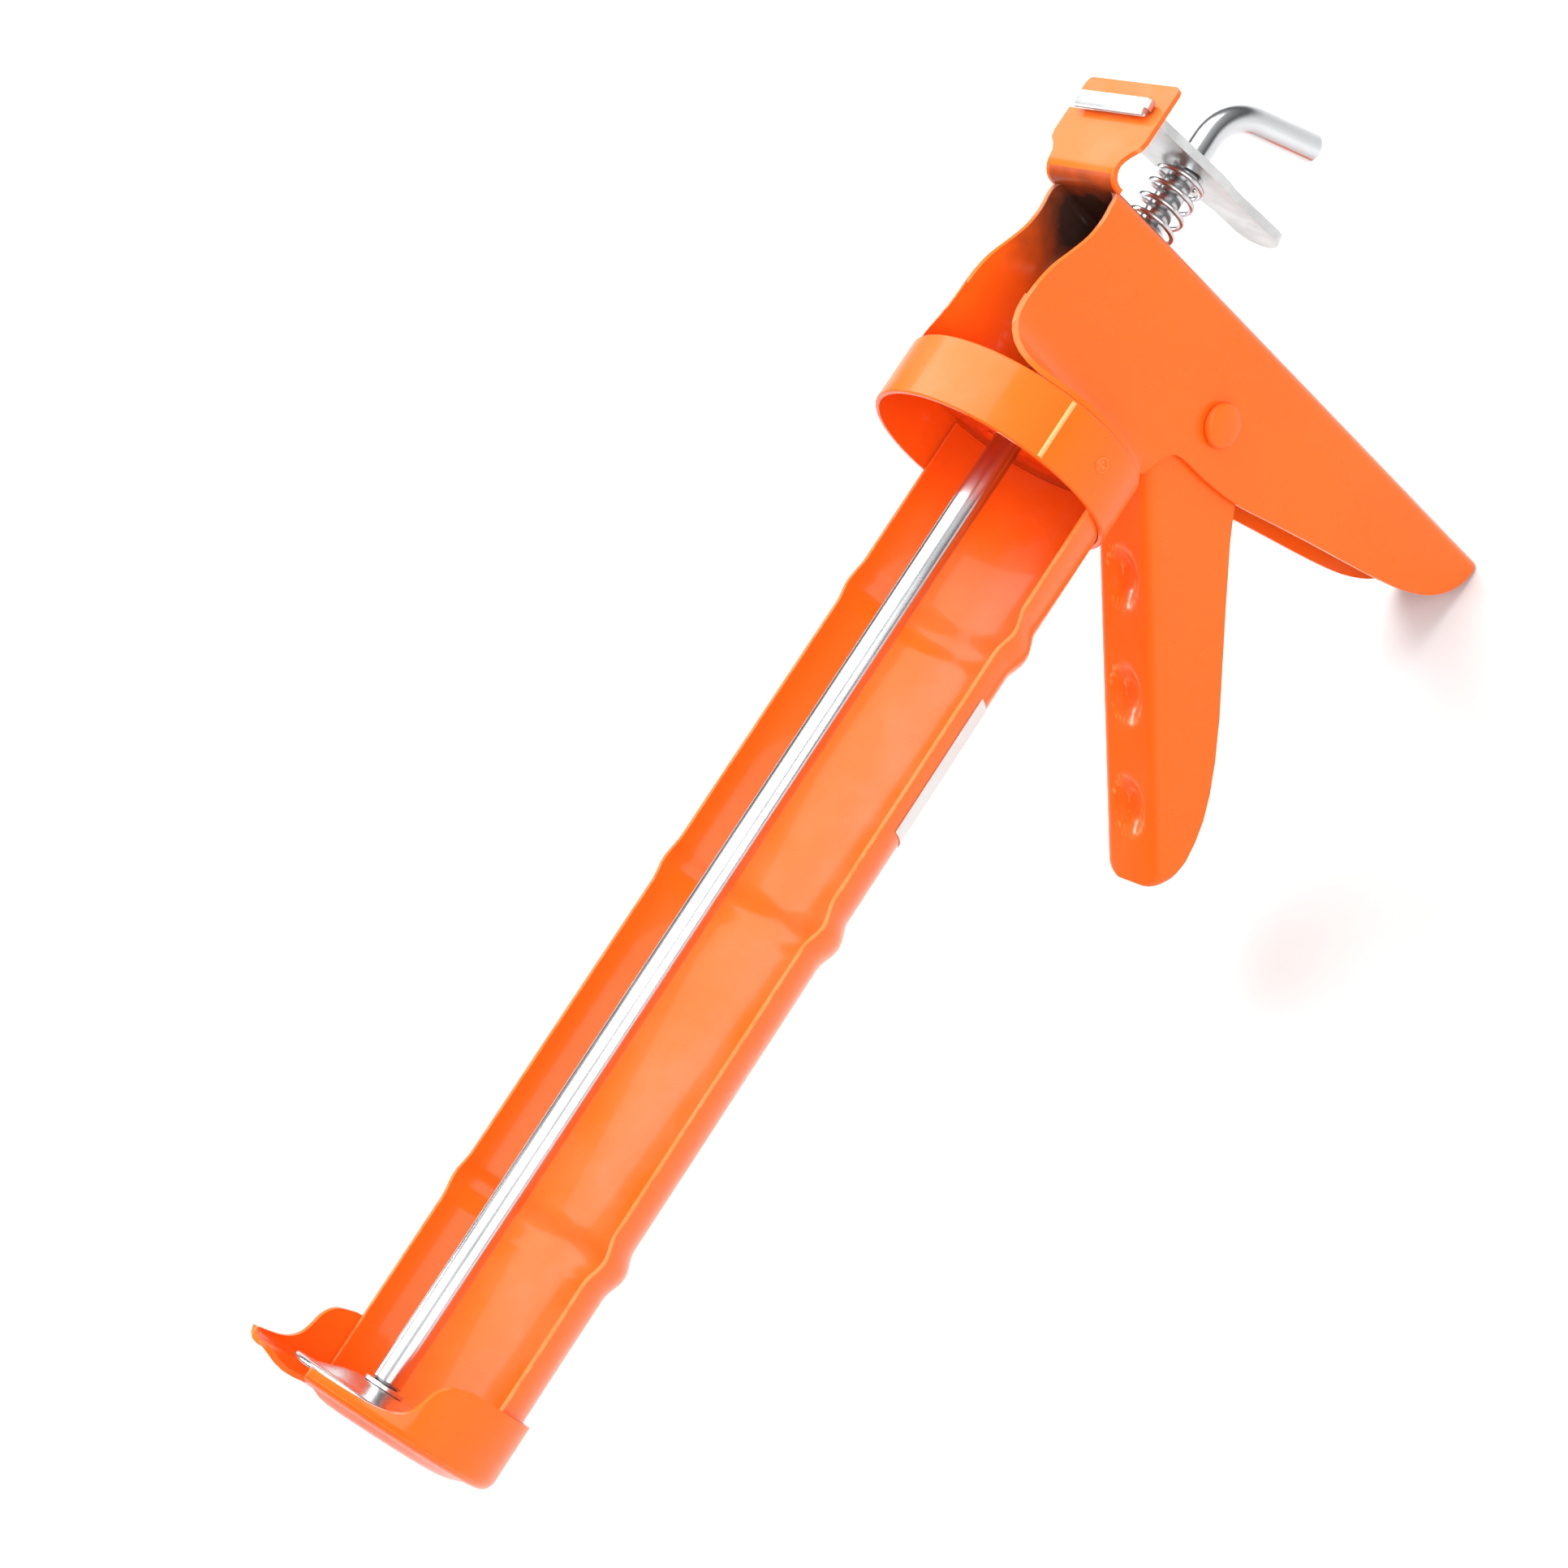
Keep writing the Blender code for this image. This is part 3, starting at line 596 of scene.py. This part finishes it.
@dataclass(frozen=True)
class BrightBar:
    """Bright plated steel bar or wire with drawing lines and sliding marks."""

    name: str = "bright_bar"
    tone: Colour = (0.58, 0.59, 0.60)
    scuffed: Colour = (0.42, 0.42, 0.42)
    clouded: Colour = (0.46, 0.47, 0.48)
    cloud_scale: float = 70.0
    cloud_amount: float = 0.30
    grain: Grain = Grain(500.0, 0.1, 0.10, 0.00001, 0.6)
    roughness: float = 0.17
    line_strength: float = 1.0

    def build(self, effects: Effects) -> bpy.types.Material:
        """Make the material.

        Args:
            effects: The shared node groups.

        Returns:
            The finished material.
        """
        shader = Shader(self.name, self.roughness, 1.0)
        drawn = shader.place(effects.drawn, Strength=self.line_strength)
        colour = shader.mix(drawn.outputs["Scuff"], self.tone, self.scuffed)
        bloom = shader.place(effects.cloud, Main=colour, Deep=self.clouded,
                             Scale=self.cloud_scale, Amount=self.cloud_amount)
        shader.feed("Base Color", bloom.outputs["Colour"])
        shader.grain(effects, self.grain, self.roughness, drawn.outputs["Height"])
        return shader.material


@dataclass(frozen=True)
class ZincPlate:
    """Bright zinc plate on a stamping, cloudy and a little stained."""

    name: str = "zinc_plate"
    light: Colour = (0.56, 0.57, 0.57)
    dull: Colour = (0.43, 0.44, 0.435)
    rubbed: Colour = (0.70, 0.70, 0.69)
    edge_wear_highlight: float = 0.7
    roughness: float = 0.27
    bloom_scale: float = 150.0
    grain: Grain = Grain(900.0, 0.5, 0.16, 0.000016, 0.8)

    def build(self, effects: Effects) -> bpy.types.Material:
        """Make the material.

        Args:
            effects: The shared node groups.

        Returns:
            The finished material.
        """
        shader = Shader(self.name, self.roughness, 1.0)
        bloom = shader.place(effects.spangle, Light=self.light, Dull=self.dull,
                             Scale=self.bloom_scale)
        edge_wear_highlight = shader.place(effects.edge_wear_highlight, Start=EDGE_WEAR_HIGHLIGHT_START, Amount=self.edge_wear_highlight)
        colour = shader.mix(edge_wear_highlight.outputs["Mask"], bloom.outputs["Colour"], self.rubbed)
        shader.feed("Base Color", colour)
        shader.grain(effects, self.grain, self.roughness)
        return shader.material


@dataclass(frozen=True)
class PlainSteel:
    """Unplated satin steel with a trace of oil, for the hidden gripping parts."""

    name: str = "plain_steel"
    light: Colour = (0.44, 0.43, 0.42)
    dull: Colour = (0.32, 0.31, 0.30)
    roughness: float = 0.33
    bloom_scale: float = 90.0
    grain: Grain = Grain(1100.0, 0.6, 0.2, 0.00002, 0.9)

    def build(self, effects: Effects) -> bpy.types.Material:
        """Make the material.

        Args:
            effects: The shared node groups.

        Returns:
            The finished material.
        """
        shader = Shader(self.name, self.roughness, 1.0)
        bloom = shader.place(effects.spangle, Light=self.light, Dull=self.dull,
                             Scale=self.bloom_scale)
        shader.feed("Base Color", bloom.outputs["Colour"])
        shader.grain(effects, self.grain, self.roughness)
        return shader.material


@dataclass(frozen=True)
class BlankSticker:
    """Satin white vinyl sticker with no print."""

    name: str = "blank_sticker"
    main: Colour = (0.62, 0.62, 0.61)
    deep: Colour = (0.54, 0.54, 0.535)
    cloud_scale: float = 60.0
    cloud_amount: float = 0.5
    grain: Grain = Grain(420.0, 0.15, 0.12, 0.00002, 0.6)
    roughness: float = 0.34
    sheen: float = 0.05

    def build(self, effects: Effects) -> bpy.types.Material:
        """Make the material.

        Args:
            effects: The shared node groups.

        Returns:
            The finished material.
        """
        shader = Shader(self.name, self.roughness, 0.0)
        cloud = shader.place(effects.cloud, Main=self.main, Deep=self.deep,
                             Scale=self.cloud_scale, Amount=self.cloud_amount)
        shader.feed("Base Color", cloud.outputs["Colour"])
        shader.grain(effects, self.grain, self.roughness)
        shader.set("Sheen Weight", self.sheen)
        return shader.material


@dataclass(frozen=True)
class StudioPaper:
    """Pale seamless paper for the floor."""

    name: str = "studio_paper"
    main: Colour = (0.60, 0.60, 0.60)
    deep: Colour = (0.59, 0.59, 0.59)
    cloud_scale: float = 8.0
    cloud_amount: float = 0.4
    roughness: float = 0.38
    specular: float = 0.45

    def build(self, effects: Effects) -> bpy.types.Material:
        """Make the material.

        Args:
            effects: The shared node groups.

        Returns:
            The finished material.
        """
        shader = Shader(self.name, self.roughness, 0.0)
        cloud = shader.place(effects.cloud, Main=self.main, Deep=self.deep,
                             Scale=self.cloud_scale, Amount=self.cloud_amount)
        shader.feed("Base Color", cloud.outputs["Colour"])
        shader.set("Specular IOR Level", self.specular)
        return shader.material


class Palette:
    """Every finish the gun wears, made once."""

    def __init__(self) -> None:
        """Build the effects and then the finishes."""
        effects = Effects()
        self.enamel = Enamel().build(effects)
        # The frame's enamel has painted shade deep inside its channel, behind the tab.
        self.frame_enamel = Enamel(name="frame_enamel", hollow_at=(-0.1225, 0.1435),
                                   hollow_back=-0.1232).build(effects)
        # The seam enamel is a paler orange: a painted highlight along the collar's seam.
        self.seam = Enamel(name="seam_highlight_enamel", main=(0.97, 0.36, 0.13),
                           deep=(0.93, 0.20, 0.04)).build(effects)
        self.bar = BrightBar().build(effects)
        self.wire = BrightBar(name="spring_wire", tone=(0.56, 0.57, 0.58), roughness=0.20,
                              line_strength=0.3).build(effects)
        self.zinc = ZincPlate().build(effects)
        self.disc = ZincPlate(name="disc_zinc", light=(0.58, 0.59, 0.60), dull=(0.47, 0.48, 0.49),
                              roughness=0.2, bloom_scale=90.0).build(effects)
        self.steel = PlainSteel().build(effects)
        self.sticker = BlankSticker().build(effects)
        self.paper = StudioPaper().build(effects)


# ------------------------------------------------------------------ mesh tools


def new_piece(name: str, mesh: bpy.types.Mesh, material: bpy.types.Material) -> bpy.types.Object:
    """Link a mesh as a visible piece.

    Args:
        name: The piece's name.
        mesh: Its mesh.
        material: Its finish.

    Returns:
        The new object.
    """
    mesh.materials.clear()
    mesh.materials.append(material)
    piece = bpy.data.objects.new(name, mesh)
    bpy.context.scene.collection.objects.link(piece)
    return piece


def shade(work: bmesh.types.BMesh, sharp_deg: float) -> None:
    """Smooth every face and keep the edges sharper than an angle.

    Args:
        work: The mesh being edited.
        sharp_deg: Edges that turn more than this stay sharp.
    """
    for face in work.faces:
        face.smooth = True
        face.material_index = 0
    for edge in work.edges:
        edge.smooth = edge.calc_face_angle(0.0) < math.radians(sharp_deg)


def refined_copy(name: str, source: bpy.types.Object, material: bpy.types.Material,
                 bevel: float = EDGE_ROUND, sharp_deg: float = SHARP_DEG,
                 subdivide: int = 0) -> bpy.types.Object:
    """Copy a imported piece's shape and soften its edges.

    Args:
        name: The new piece's name.
        source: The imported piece.
        material: Its finish.
        bevel: Width of the rounded edges in metres, or 0 for none.
        sharp_deg: Edges that turn more than this are rounded.
        subdivide: Levels of smooth subdivision.

    Returns:
        The new piece.
    """
    work = bmesh.new()
    work.from_mesh(source.data)
    bmesh.ops.remove_doubles(work, verts=work.verts, dist=MERGE_DISTANCE)
    bmesh.ops.dissolve_limit(work, angle_limit=math.radians(FLAT_DEG), verts=work.verts,
                             edges=work.edges, use_dissolve_boundaries=False)
    shade(work, sharp_deg)
    mesh = bpy.data.meshes.new(name)
    work.to_mesh(mesh)
    work.free()
    piece = new_piece(name, mesh, material)
    if bevel:
        modifier = piece.modifiers.new("edge_round", "BEVEL")
        modifier.width = bevel
        modifier.segments = EDGE_SEGMENTS
        modifier.limit_method = "ANGLE"
        modifier.angle_limit = math.radians(sharp_deg)
        modifier.harden_normals = True
        modifier.use_clamp_overlap = True
        modifier.miter_outer = "MITER_ARC"
    if subdivide:
        modifier = piece.modifiers.new("smooth_wire", "SUBSURF")
        modifier.levels = subdivide
        modifier.render_levels = subdivide
    return piece


def mesh_from(name: str, verts: Sequence[Sequence[float]], faces: Sequence[Sequence[int]],
              sharp_deg: float = 40.0) -> bpy.types.Mesh:
    """Make a mesh with outward faces and sensible shading.

    Args:
        name: The mesh's name.
        verts: Its points.
        faces: Its faces.
        sharp_deg: Edges that turn more than this stay sharp.

    Returns:
        The mesh.
    """
    mesh = bpy.data.meshes.new(name)
    mesh.from_pydata([tuple(v) for v in verts], [], [tuple(f) for f in faces])
    work = bmesh.new()
    work.from_mesh(mesh)
    bmesh.ops.recalc_face_normals(work, faces=work.faces)
    shade(work, sharp_deg)
    work.to_mesh(mesh)
    work.free()
    return mesh


def skin(sections: Sequence[Sequence[Vector]], capped: bool = True
         ) -> tuple[list[Vector], list[list[int]]]:
    """Join closed sections of equal counts into one body.

    Args:
        sections: The rings of points.
        capped: Whether the first and last rings are closed.

    Returns:
        The points and faces.
    """
    count = len(sections[0])
    verts = [point for section in sections for point in section]
    faces: list[list[int]] = []
    for k in range(len(sections) - 1):
        for i in range(count):
            j = (i + 1) % count
            faces.append([k * count + i, k * count + j, (k + 1) * count + j,
                          (k + 1) * count + i])
    if capped:
        last = (len(sections) - 1) * count
        faces.append(list(range(count))[::-1])
        faces.append(list(range(last, last + count)))
    return verts, faces


def dress(piece: bpy.types.Object, body: Body, slot: Slot, *nodes: str) -> bpy.types.Object:
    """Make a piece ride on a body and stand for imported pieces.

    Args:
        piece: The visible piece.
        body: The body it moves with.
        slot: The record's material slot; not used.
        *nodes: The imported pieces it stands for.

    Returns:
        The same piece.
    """
    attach(piece, body.value)
    if nodes:
        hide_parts(*nodes)
    LOG.info("%s rides on %s", piece.name, body.value)
    return piece


# ------------------------------------------------------------------ sub-assemblies


@dataclass
class Barrel:
    """Collar, trough, nose cap and guide plate."""

    nodes: dict[str, bpy.types.Object]
    palette: Palette
    edge: float = 0.0003
    seam_angle_deg: float = 26.0
    seam_width: float = 0.0011
    seam_height: float = 0.00035
    seam_inset: float = 0.0005
    seam_root: float = 0.0002
    seam_steps: int = 8
    weld_angle_deg: float = -1.2
    weld_from_rear: float = 0.0065
    weld_radius: float = 0.00155
    weld_half_width: float = 0.00035
    weld_height: float = 0.00022
    weld_turns: int = 24
    weld_sides: int = 8

    def build(self) -> None:
        """Make every visible piece of the barrel."""
        enamel = self.palette.enamel
        for node in ("collar_ring", "barrel_trough", "front_cap", "guide_plate"):
            piece = refined_copy(f"{node}_enamelled", self.nodes[node], enamel, self.edge)
            dress(piece, Body.GUN, Slot.PAINT, node)
        self.seam()
        self.spot_weld()

    def seam(self) -> None:
        """The collar's butt seam, dressed flush and filled with paint; its paler enamel paints a
        highlight along it.
        """
        low, high = (Vector(corner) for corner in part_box("collar_ring"))
        radius = (high.y - low.y) / 2
        centre = Vector((0.0, (low.y + high.y) / 2, (low.z + high.z) / 2))
        middle = math.radians(self.seam_angle_deg)
        half = self.seam_width / 2 / radius
        steps = self.seam_steps
        length = high.x - low.x - 2 * self.seam_inset

        def point(x: float, share: float, lift: float) -> Vector:
            """A point near the collar's surface, by its share of the seam's half width."""
            angle = middle + half * share
            return centre + Vector((x, (radius + lift) * math.cos(angle),
                                    (radius + lift) * math.sin(angle)))

        sections = []
        for k in range(steps + 1):
            x = low.x + self.seam_inset + length * k / steps
            fade = min(1.0, 4.0 * min(k, steps - k) / steps + 0.25)
            ring = []
            for i in range(steps + 1):
                share = -1.0 + 2.0 * i / steps
                lift = self.seam_height * fade * math.cos(share * math.pi / 2) ** 0.8
                ring.append(point(x, share, lift))
            ring.extend(point(x, share, -self.seam_root) for share in (0.8, -0.8))
            sections.append(ring)
        mesh = mesh_from("collar_seam", *skin(sections))
        dress(new_piece("collar_seam", mesh, self.palette.seam), Body.GUN, Slot.PAINT)

    def spot_weld(self) -> None:
        """Raised rim round the collar's spot weld."""
        low, high = (Vector(corner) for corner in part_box("collar_ring"))
        radius = (high.y - low.y) / 2
        angle = math.radians(self.weld_angle_deg)
        out = Vector((0.0, math.cos(angle), math.sin(angle)))
        along = Vector((1.0, 0.0, 0.0))
        side = out.cross(along)
        centre = Vector((low.x + self.weld_from_rear, (low.y + high.y) / 2,
                         (low.z + high.z) / 2)) + out * radius
        sections = []
        for k in range(self.weld_turns + 1):
            turn = 2 * math.pi * k / self.weld_turns
            spoke = along * math.cos(turn) + side * math.sin(turn)
            ring = []
            for i in range(self.weld_sides):
                part = 2 * math.pi * i / self.weld_sides
                reach = self.weld_radius + self.weld_half_width * math.cos(part)
                ring.append(centre + spoke * reach + out * (self.weld_height * math.sin(part)))
            sections.append(ring)
        mesh = mesh_from("spot_weld_rim", *skin(sections, capped=False))
        dress(new_piece("spot_weld_rim", mesh, self.palette.enamel), Body.GUN, Slot.PAINT)


@dataclass
class Handle:
    """Frame stamping, its rivet and bush, and the trigger."""

    nodes: dict[str, bpy.types.Object]
    palette: Palette
    edge: float = 0.0003
    turned_edge: float = 0.0002
    rivet_sharp_deg: float = 30.0

    def build(self) -> None:
        """Make every visible piece of the handle."""
        enamel = self.palette.enamel
        frame = refined_copy("frame_enamelled", self.nodes["frame"], self.palette.frame_enamel,
                             self.edge)
        dress(frame, Body.GUN, Slot.PAINT, "frame")
        trigger = refined_copy("trigger_enamelled", self.nodes["trigger"], enamel, self.edge)
        dress(trigger, Body.TRIGGER, Slot.PAINT, "trigger")
        rivet = refined_copy("rivet_enamelled", self.nodes["trigger_rivet"], enamel,
                             self.turned_edge, self.rivet_sharp_deg)
        dress(rivet, Body.GUN, Slot.PAINT, "trigger_rivet")
        bush = refined_copy("bush_turned", self.nodes["rivet_bush"], self.palette.steel,
                            self.turned_edge)
        dress(bush, Body.GUN, Slot.STEEL, "rivet_bush")


@dataclass
class RodTrain:
    """Push rod, plunger, drive plate and its spring."""

    nodes: dict[str, bpy.types.Object]
    palette: Palette
    thread_pitch: float = 0.0008
    thread_root: float = 0.00222
    thread_crest: float = 0.00252
    thread_length: float = 0.0088
    thread_inset: float = 0.0004
    thread_sunk: float = 0.0003
    thread_sides: int = 28
    flank_share: float = 0.46
    crest_share: float = 0.2
    rod_edge: float = 0.0002
    disc_sharp_deg: float = 50.0
    washer_edge: float = 0.00015
    nut_edge: float = 0.00018
    nut_sharp_deg: float = 25.0
    plate_edge: float = 0.0003

    def build(self) -> None:
        """Make every visible piece of the rod train."""
        palette = self.palette
        rod = refined_copy("push_rod_bright", self.nodes["push_rod"], palette.bar,
                           self.rod_edge)
        dress(rod, Body.ROD, Slot.BRIGHT_STEEL, "push_rod")
        self.thread()
        disc = refined_copy("plunger_disc_zinc", self.nodes["plunger_disc"], palette.disc,
                            0.0, self.disc_sharp_deg)
        dress(disc, Body.PLUNGER, Slot.ZINC, "plunger_disc")
        washer = refined_copy("plunger_washer_zinc", self.nodes["plunger_washer"],
                              palette.zinc, self.washer_edge)
        dress(washer, Body.PLUNGER, Slot.ZINC, "plunger_washer")
        nut = refined_copy("plunger_nut_zinc", self.nodes["plunger_nut"], palette.zinc,
                           self.nut_edge, self.nut_sharp_deg)
        dress(nut, Body.ROD, Slot.ZINC, "plunger_nut")
        plate = refined_copy("drive_plate_steel", self.nodes["drive_plate"], palette.steel,
                             self.plate_edge)
        dress(plate, Body.DRIVER, Slot.STEEL, "drive_plate")
        self.spring()

    def thread(self) -> None:
        """A rolled thread on the rod's front stud."""
        _, high = (Vector(corner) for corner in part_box("push_rod"))
        nut_low, nut_high = (Vector(corner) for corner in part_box("plunger_nut"))
        axis = (nut_low + nut_high) / 2
        end = high.x - self.thread_inset
        sides = self.thread_sides
        total = int(sides * (self.thread_length / self.thread_pitch))
        reach = Vector((self.thread_pitch * self.flank_share, 0, 0))
        sections = []
        for k in range(total + 1):
            angle = 2 * math.pi * k / sides
            x = end - self.thread_length + self.thread_pitch * k / sides
            grow = min(1.0, k / sides, (total - k) / sides)
            crest = self.thread_root + (self.thread_crest - self.thread_root) * grow
            out = Vector((0.0, math.cos(angle), math.sin(angle)))
            base = Vector((x, axis.y, axis.z))
            sections.append([base + out * self.thread_root - reach,
                             base + out * crest - reach * self.crest_share,
                             base + out * crest + reach * self.crest_share,
                             base + out * self.thread_root + reach,
                             base + out * (self.thread_root - self.thread_sunk)])
        mesh = mesh_from("stud_thread", *skin(sections))
        dress(new_piece("stud_thread", mesh, self.palette.zinc), Body.ROD, Slot.ZINC)

    def spring(self) -> None:
        """The drive spring between the drive plate and the guide plate, kept still; it does not
        shorten.
        """
        spring = refined_copy("drive_spring_wire", self.nodes["drive_spring"],
                              self.palette.wire, 0.0, ROUND_DEG, WIRE_LEVELS)
        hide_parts("drive_spring")
        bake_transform(spring)


@dataclass
class Release:
    """Thumb plate and its spring."""

    nodes: dict[str, bpy.types.Object]
    palette: Palette
    plate_edge: float = 0.0003
    plate_sharp_deg: float = 30.0
    rear_seat: float = 0.002
    front_seat: float = 0.001

    def build(self) -> None:
        """Make the release plate and its spring."""
        plate = refined_copy("release_plate_zinc", self.nodes["release_plate"],
                             self.palette.zinc, self.plate_edge, self.plate_sharp_deg)
        dress(plate, Body.RELEASE, Slot.ZINC, "release_plate")
        spring = refined_copy("release_spring_wire", self.nodes["release_spring"],
                              self.palette.wire, 0.0, ROUND_DEG, WIRE_LEVELS)
        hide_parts("release_spring")
        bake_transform(spring)


@dataclass
class Sticker:
    """Blank sticker on the trough."""

    nodes: dict[str, bpy.types.Object]
    palette: Palette

    def build(self) -> None:
        """Make the sticker."""
        label = refined_copy("label_blank", self.nodes["label"], self.palette.sticker, 0.0,
                             ROUND_DEG)
        dress(label, Body.GUN, Slot.LABEL, "label")


# ------------------------------------------------------------------ studio


@dataclass(frozen=True)
class Softbox:
    """A square area light: where it stands, its side in metres and its power in watts."""

    name: str
    place: tuple[float, float, float]
    size: float
    power: float

    def build(self, target: Vector) -> None:
        """Add the light.

        Args:
            target: What it faces.
        """
        data = bpy.data.lights.new(self.name, "AREA")
        data.shape = "SQUARE"
        data.size = self.size
        data.energy = self.power
        lamp = bpy.data.objects.new(self.name, data)
        aim = target - Vector(self.place)
        lamp.matrix_world = (Matrix.Translation(Vector(self.place))
                             @ aim.to_track_quat("-Z", "Y").to_matrix().to_4x4())
        bpy.context.scene.collection.objects.link(lamp)


@dataclass
class Studio:
    """Camera, floor and soft lights."""

    palette: Palette
    camera_place: Vector = field(default_factory=lambda: Vector((0.14333, 0.52312, 0.57718)))
    camera_right: Vector = field(default_factory=lambda: Vector((-0.54143, 0.61602, -0.57216)))
    camera_forward: Vector = field(default_factory=lambda: Vector((-0.18127, -0.75007, -0.63603)))
    lens: float = 78.021
    sensor: float = 36.0
    near_clip: float = 0.01
    floor_half: float = 3.0
    floor_steps: int = 12
    floor_gap: float = 0.0002
    floor_flat: float = 1.6
    floor_rise: float = 0.05
    horizon: tuple[float, Colour] = (0.12, (0.10, 0.10, 0.105))
    zenith: tuple[float, Colour] = (0.85, (0.75, 0.75, 0.76))
    lights: tuple[Softbox, ...] = (
        Softbox("overhead_softbox", (-0.50, -0.35, 1.45), 1.8, 50.0),
        Softbox("front_softbox", (0.25, 1.35, 0.85), 1.2, 22.0),
        Softbox("rim_softbox", (0.35, -1.30, 0.65), 0.32, 9.0),
    )
    light_target: tuple[float, float, float] = (0.0, 0.0, 0.1)

    def build(self) -> None:
        """Set the stage."""
        self.camera()
        self.floor()
        self.world()
        for light in self.lights:
            light.build(Vector(self.light_target))

    def camera(self) -> None:
        """Make the camera from its place and its two directions."""
        data = bpy.data.cameras.new("view_camera")
        data.sensor_width = self.sensor
        data.lens = self.lens
        data.clip_start = self.near_clip
        camera = bpy.data.objects.new("view_camera", data)
        right = self.camera_right.normalized()
        back = (-self.camera_forward).normalized()
        back = (back - right * back.dot(right)).normalized()
        up = back.cross(right)
        turn = Matrix((right, up, back)).transposed().to_4x4()
        camera.matrix_world = Matrix.Translation(self.camera_place) @ turn
        bpy.context.scene.collection.objects.link(camera)
        bpy.context.scene.camera = camera

    def floor(self) -> None:
        """A wide sheet of paper with a gently rising far edge."""
        low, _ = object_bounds()
        reach = self.floor_half
        steps = self.floor_steps
        verts = []
        faces = []
        for i in range(steps + 1):
            for j in range(steps + 1):
                x = -reach + 2 * reach * i / steps
                y = -reach + 2 * reach * j / steps
                away = max(0.0, math.hypot(x, y) - self.floor_flat)
                verts.append((x, y, low[2] - self.floor_gap + self.floor_rise * away * away))
        for i in range(steps):
            for j in range(steps):
                a = i * (steps + 1) + j
                faces.append((a, a + steps + 1, a + steps + 2, a + 1))
        mesh = mesh_from("studio_floor", verts, faces)
        floor = new_piece("studio_floor", mesh, self.palette.paper)
        floor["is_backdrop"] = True

    def world(self) -> None:
        """A pale sky that darkens a little towards the horizon."""
        world = bpy.data.worlds.new("studio_world")
        world.use_nodes = True
        tree = world.node_tree
        background = tree.nodes["Background"]
        place = tree.nodes.new("ShaderNodeTexCoord")
        split = tree.nodes.new("ShaderNodeSeparateXYZ")
        ramp = tree.nodes.new("ShaderNodeValToRGB")
        for element, (position, colour) in zip(ramp.color_ramp.elements,
                                               (self.horizon, self.zenith)):
            element.position, element.color = position, (*colour, 1.0)
        tree.links.new(place.outputs["Generated"], split.inputs[0])
        tree.links.new(split.outputs["Z"], ramp.inputs[0])
        tree.links.new(ramp.outputs["Color"], background.inputs["Color"])
        background.inputs["Strength"].default_value = 1.0
        scene = bpy.context.scene
        scene.world = world
        scene.view_settings.view_transform = "Standard"
        scene.view_settings.look = "None"


def write_sizes() -> None:
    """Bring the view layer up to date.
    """
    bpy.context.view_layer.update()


def clear_start_scene() -> None:
    """Remove the start-up scene's own objects."""
    for thing in list(bpy.data.objects):
        bpy.data.objects.remove(thing, do_unlink=True)


def main() -> None:
    """Load the frame and build each sub-assembly in order."""
    logging.basicConfig(level=logging.INFO, format="%(name)s: %(message)s")
    clear_start_scene()
    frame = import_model()
    nodes = frame["nodes"]
    palette = Palette()
    parts: tuple[Callable[[], None], ...] = (
        Barrel(nodes, palette).build,
        Handle(nodes, palette).build,
        RodTrain(nodes, palette).build,
        Release(nodes, palette).build,
        Sticker(nodes, palette).build,
        Studio(palette).build,
    )
    for build in parts:
        build()
    write_sizes()


if __name__ == "__main__":
    main()
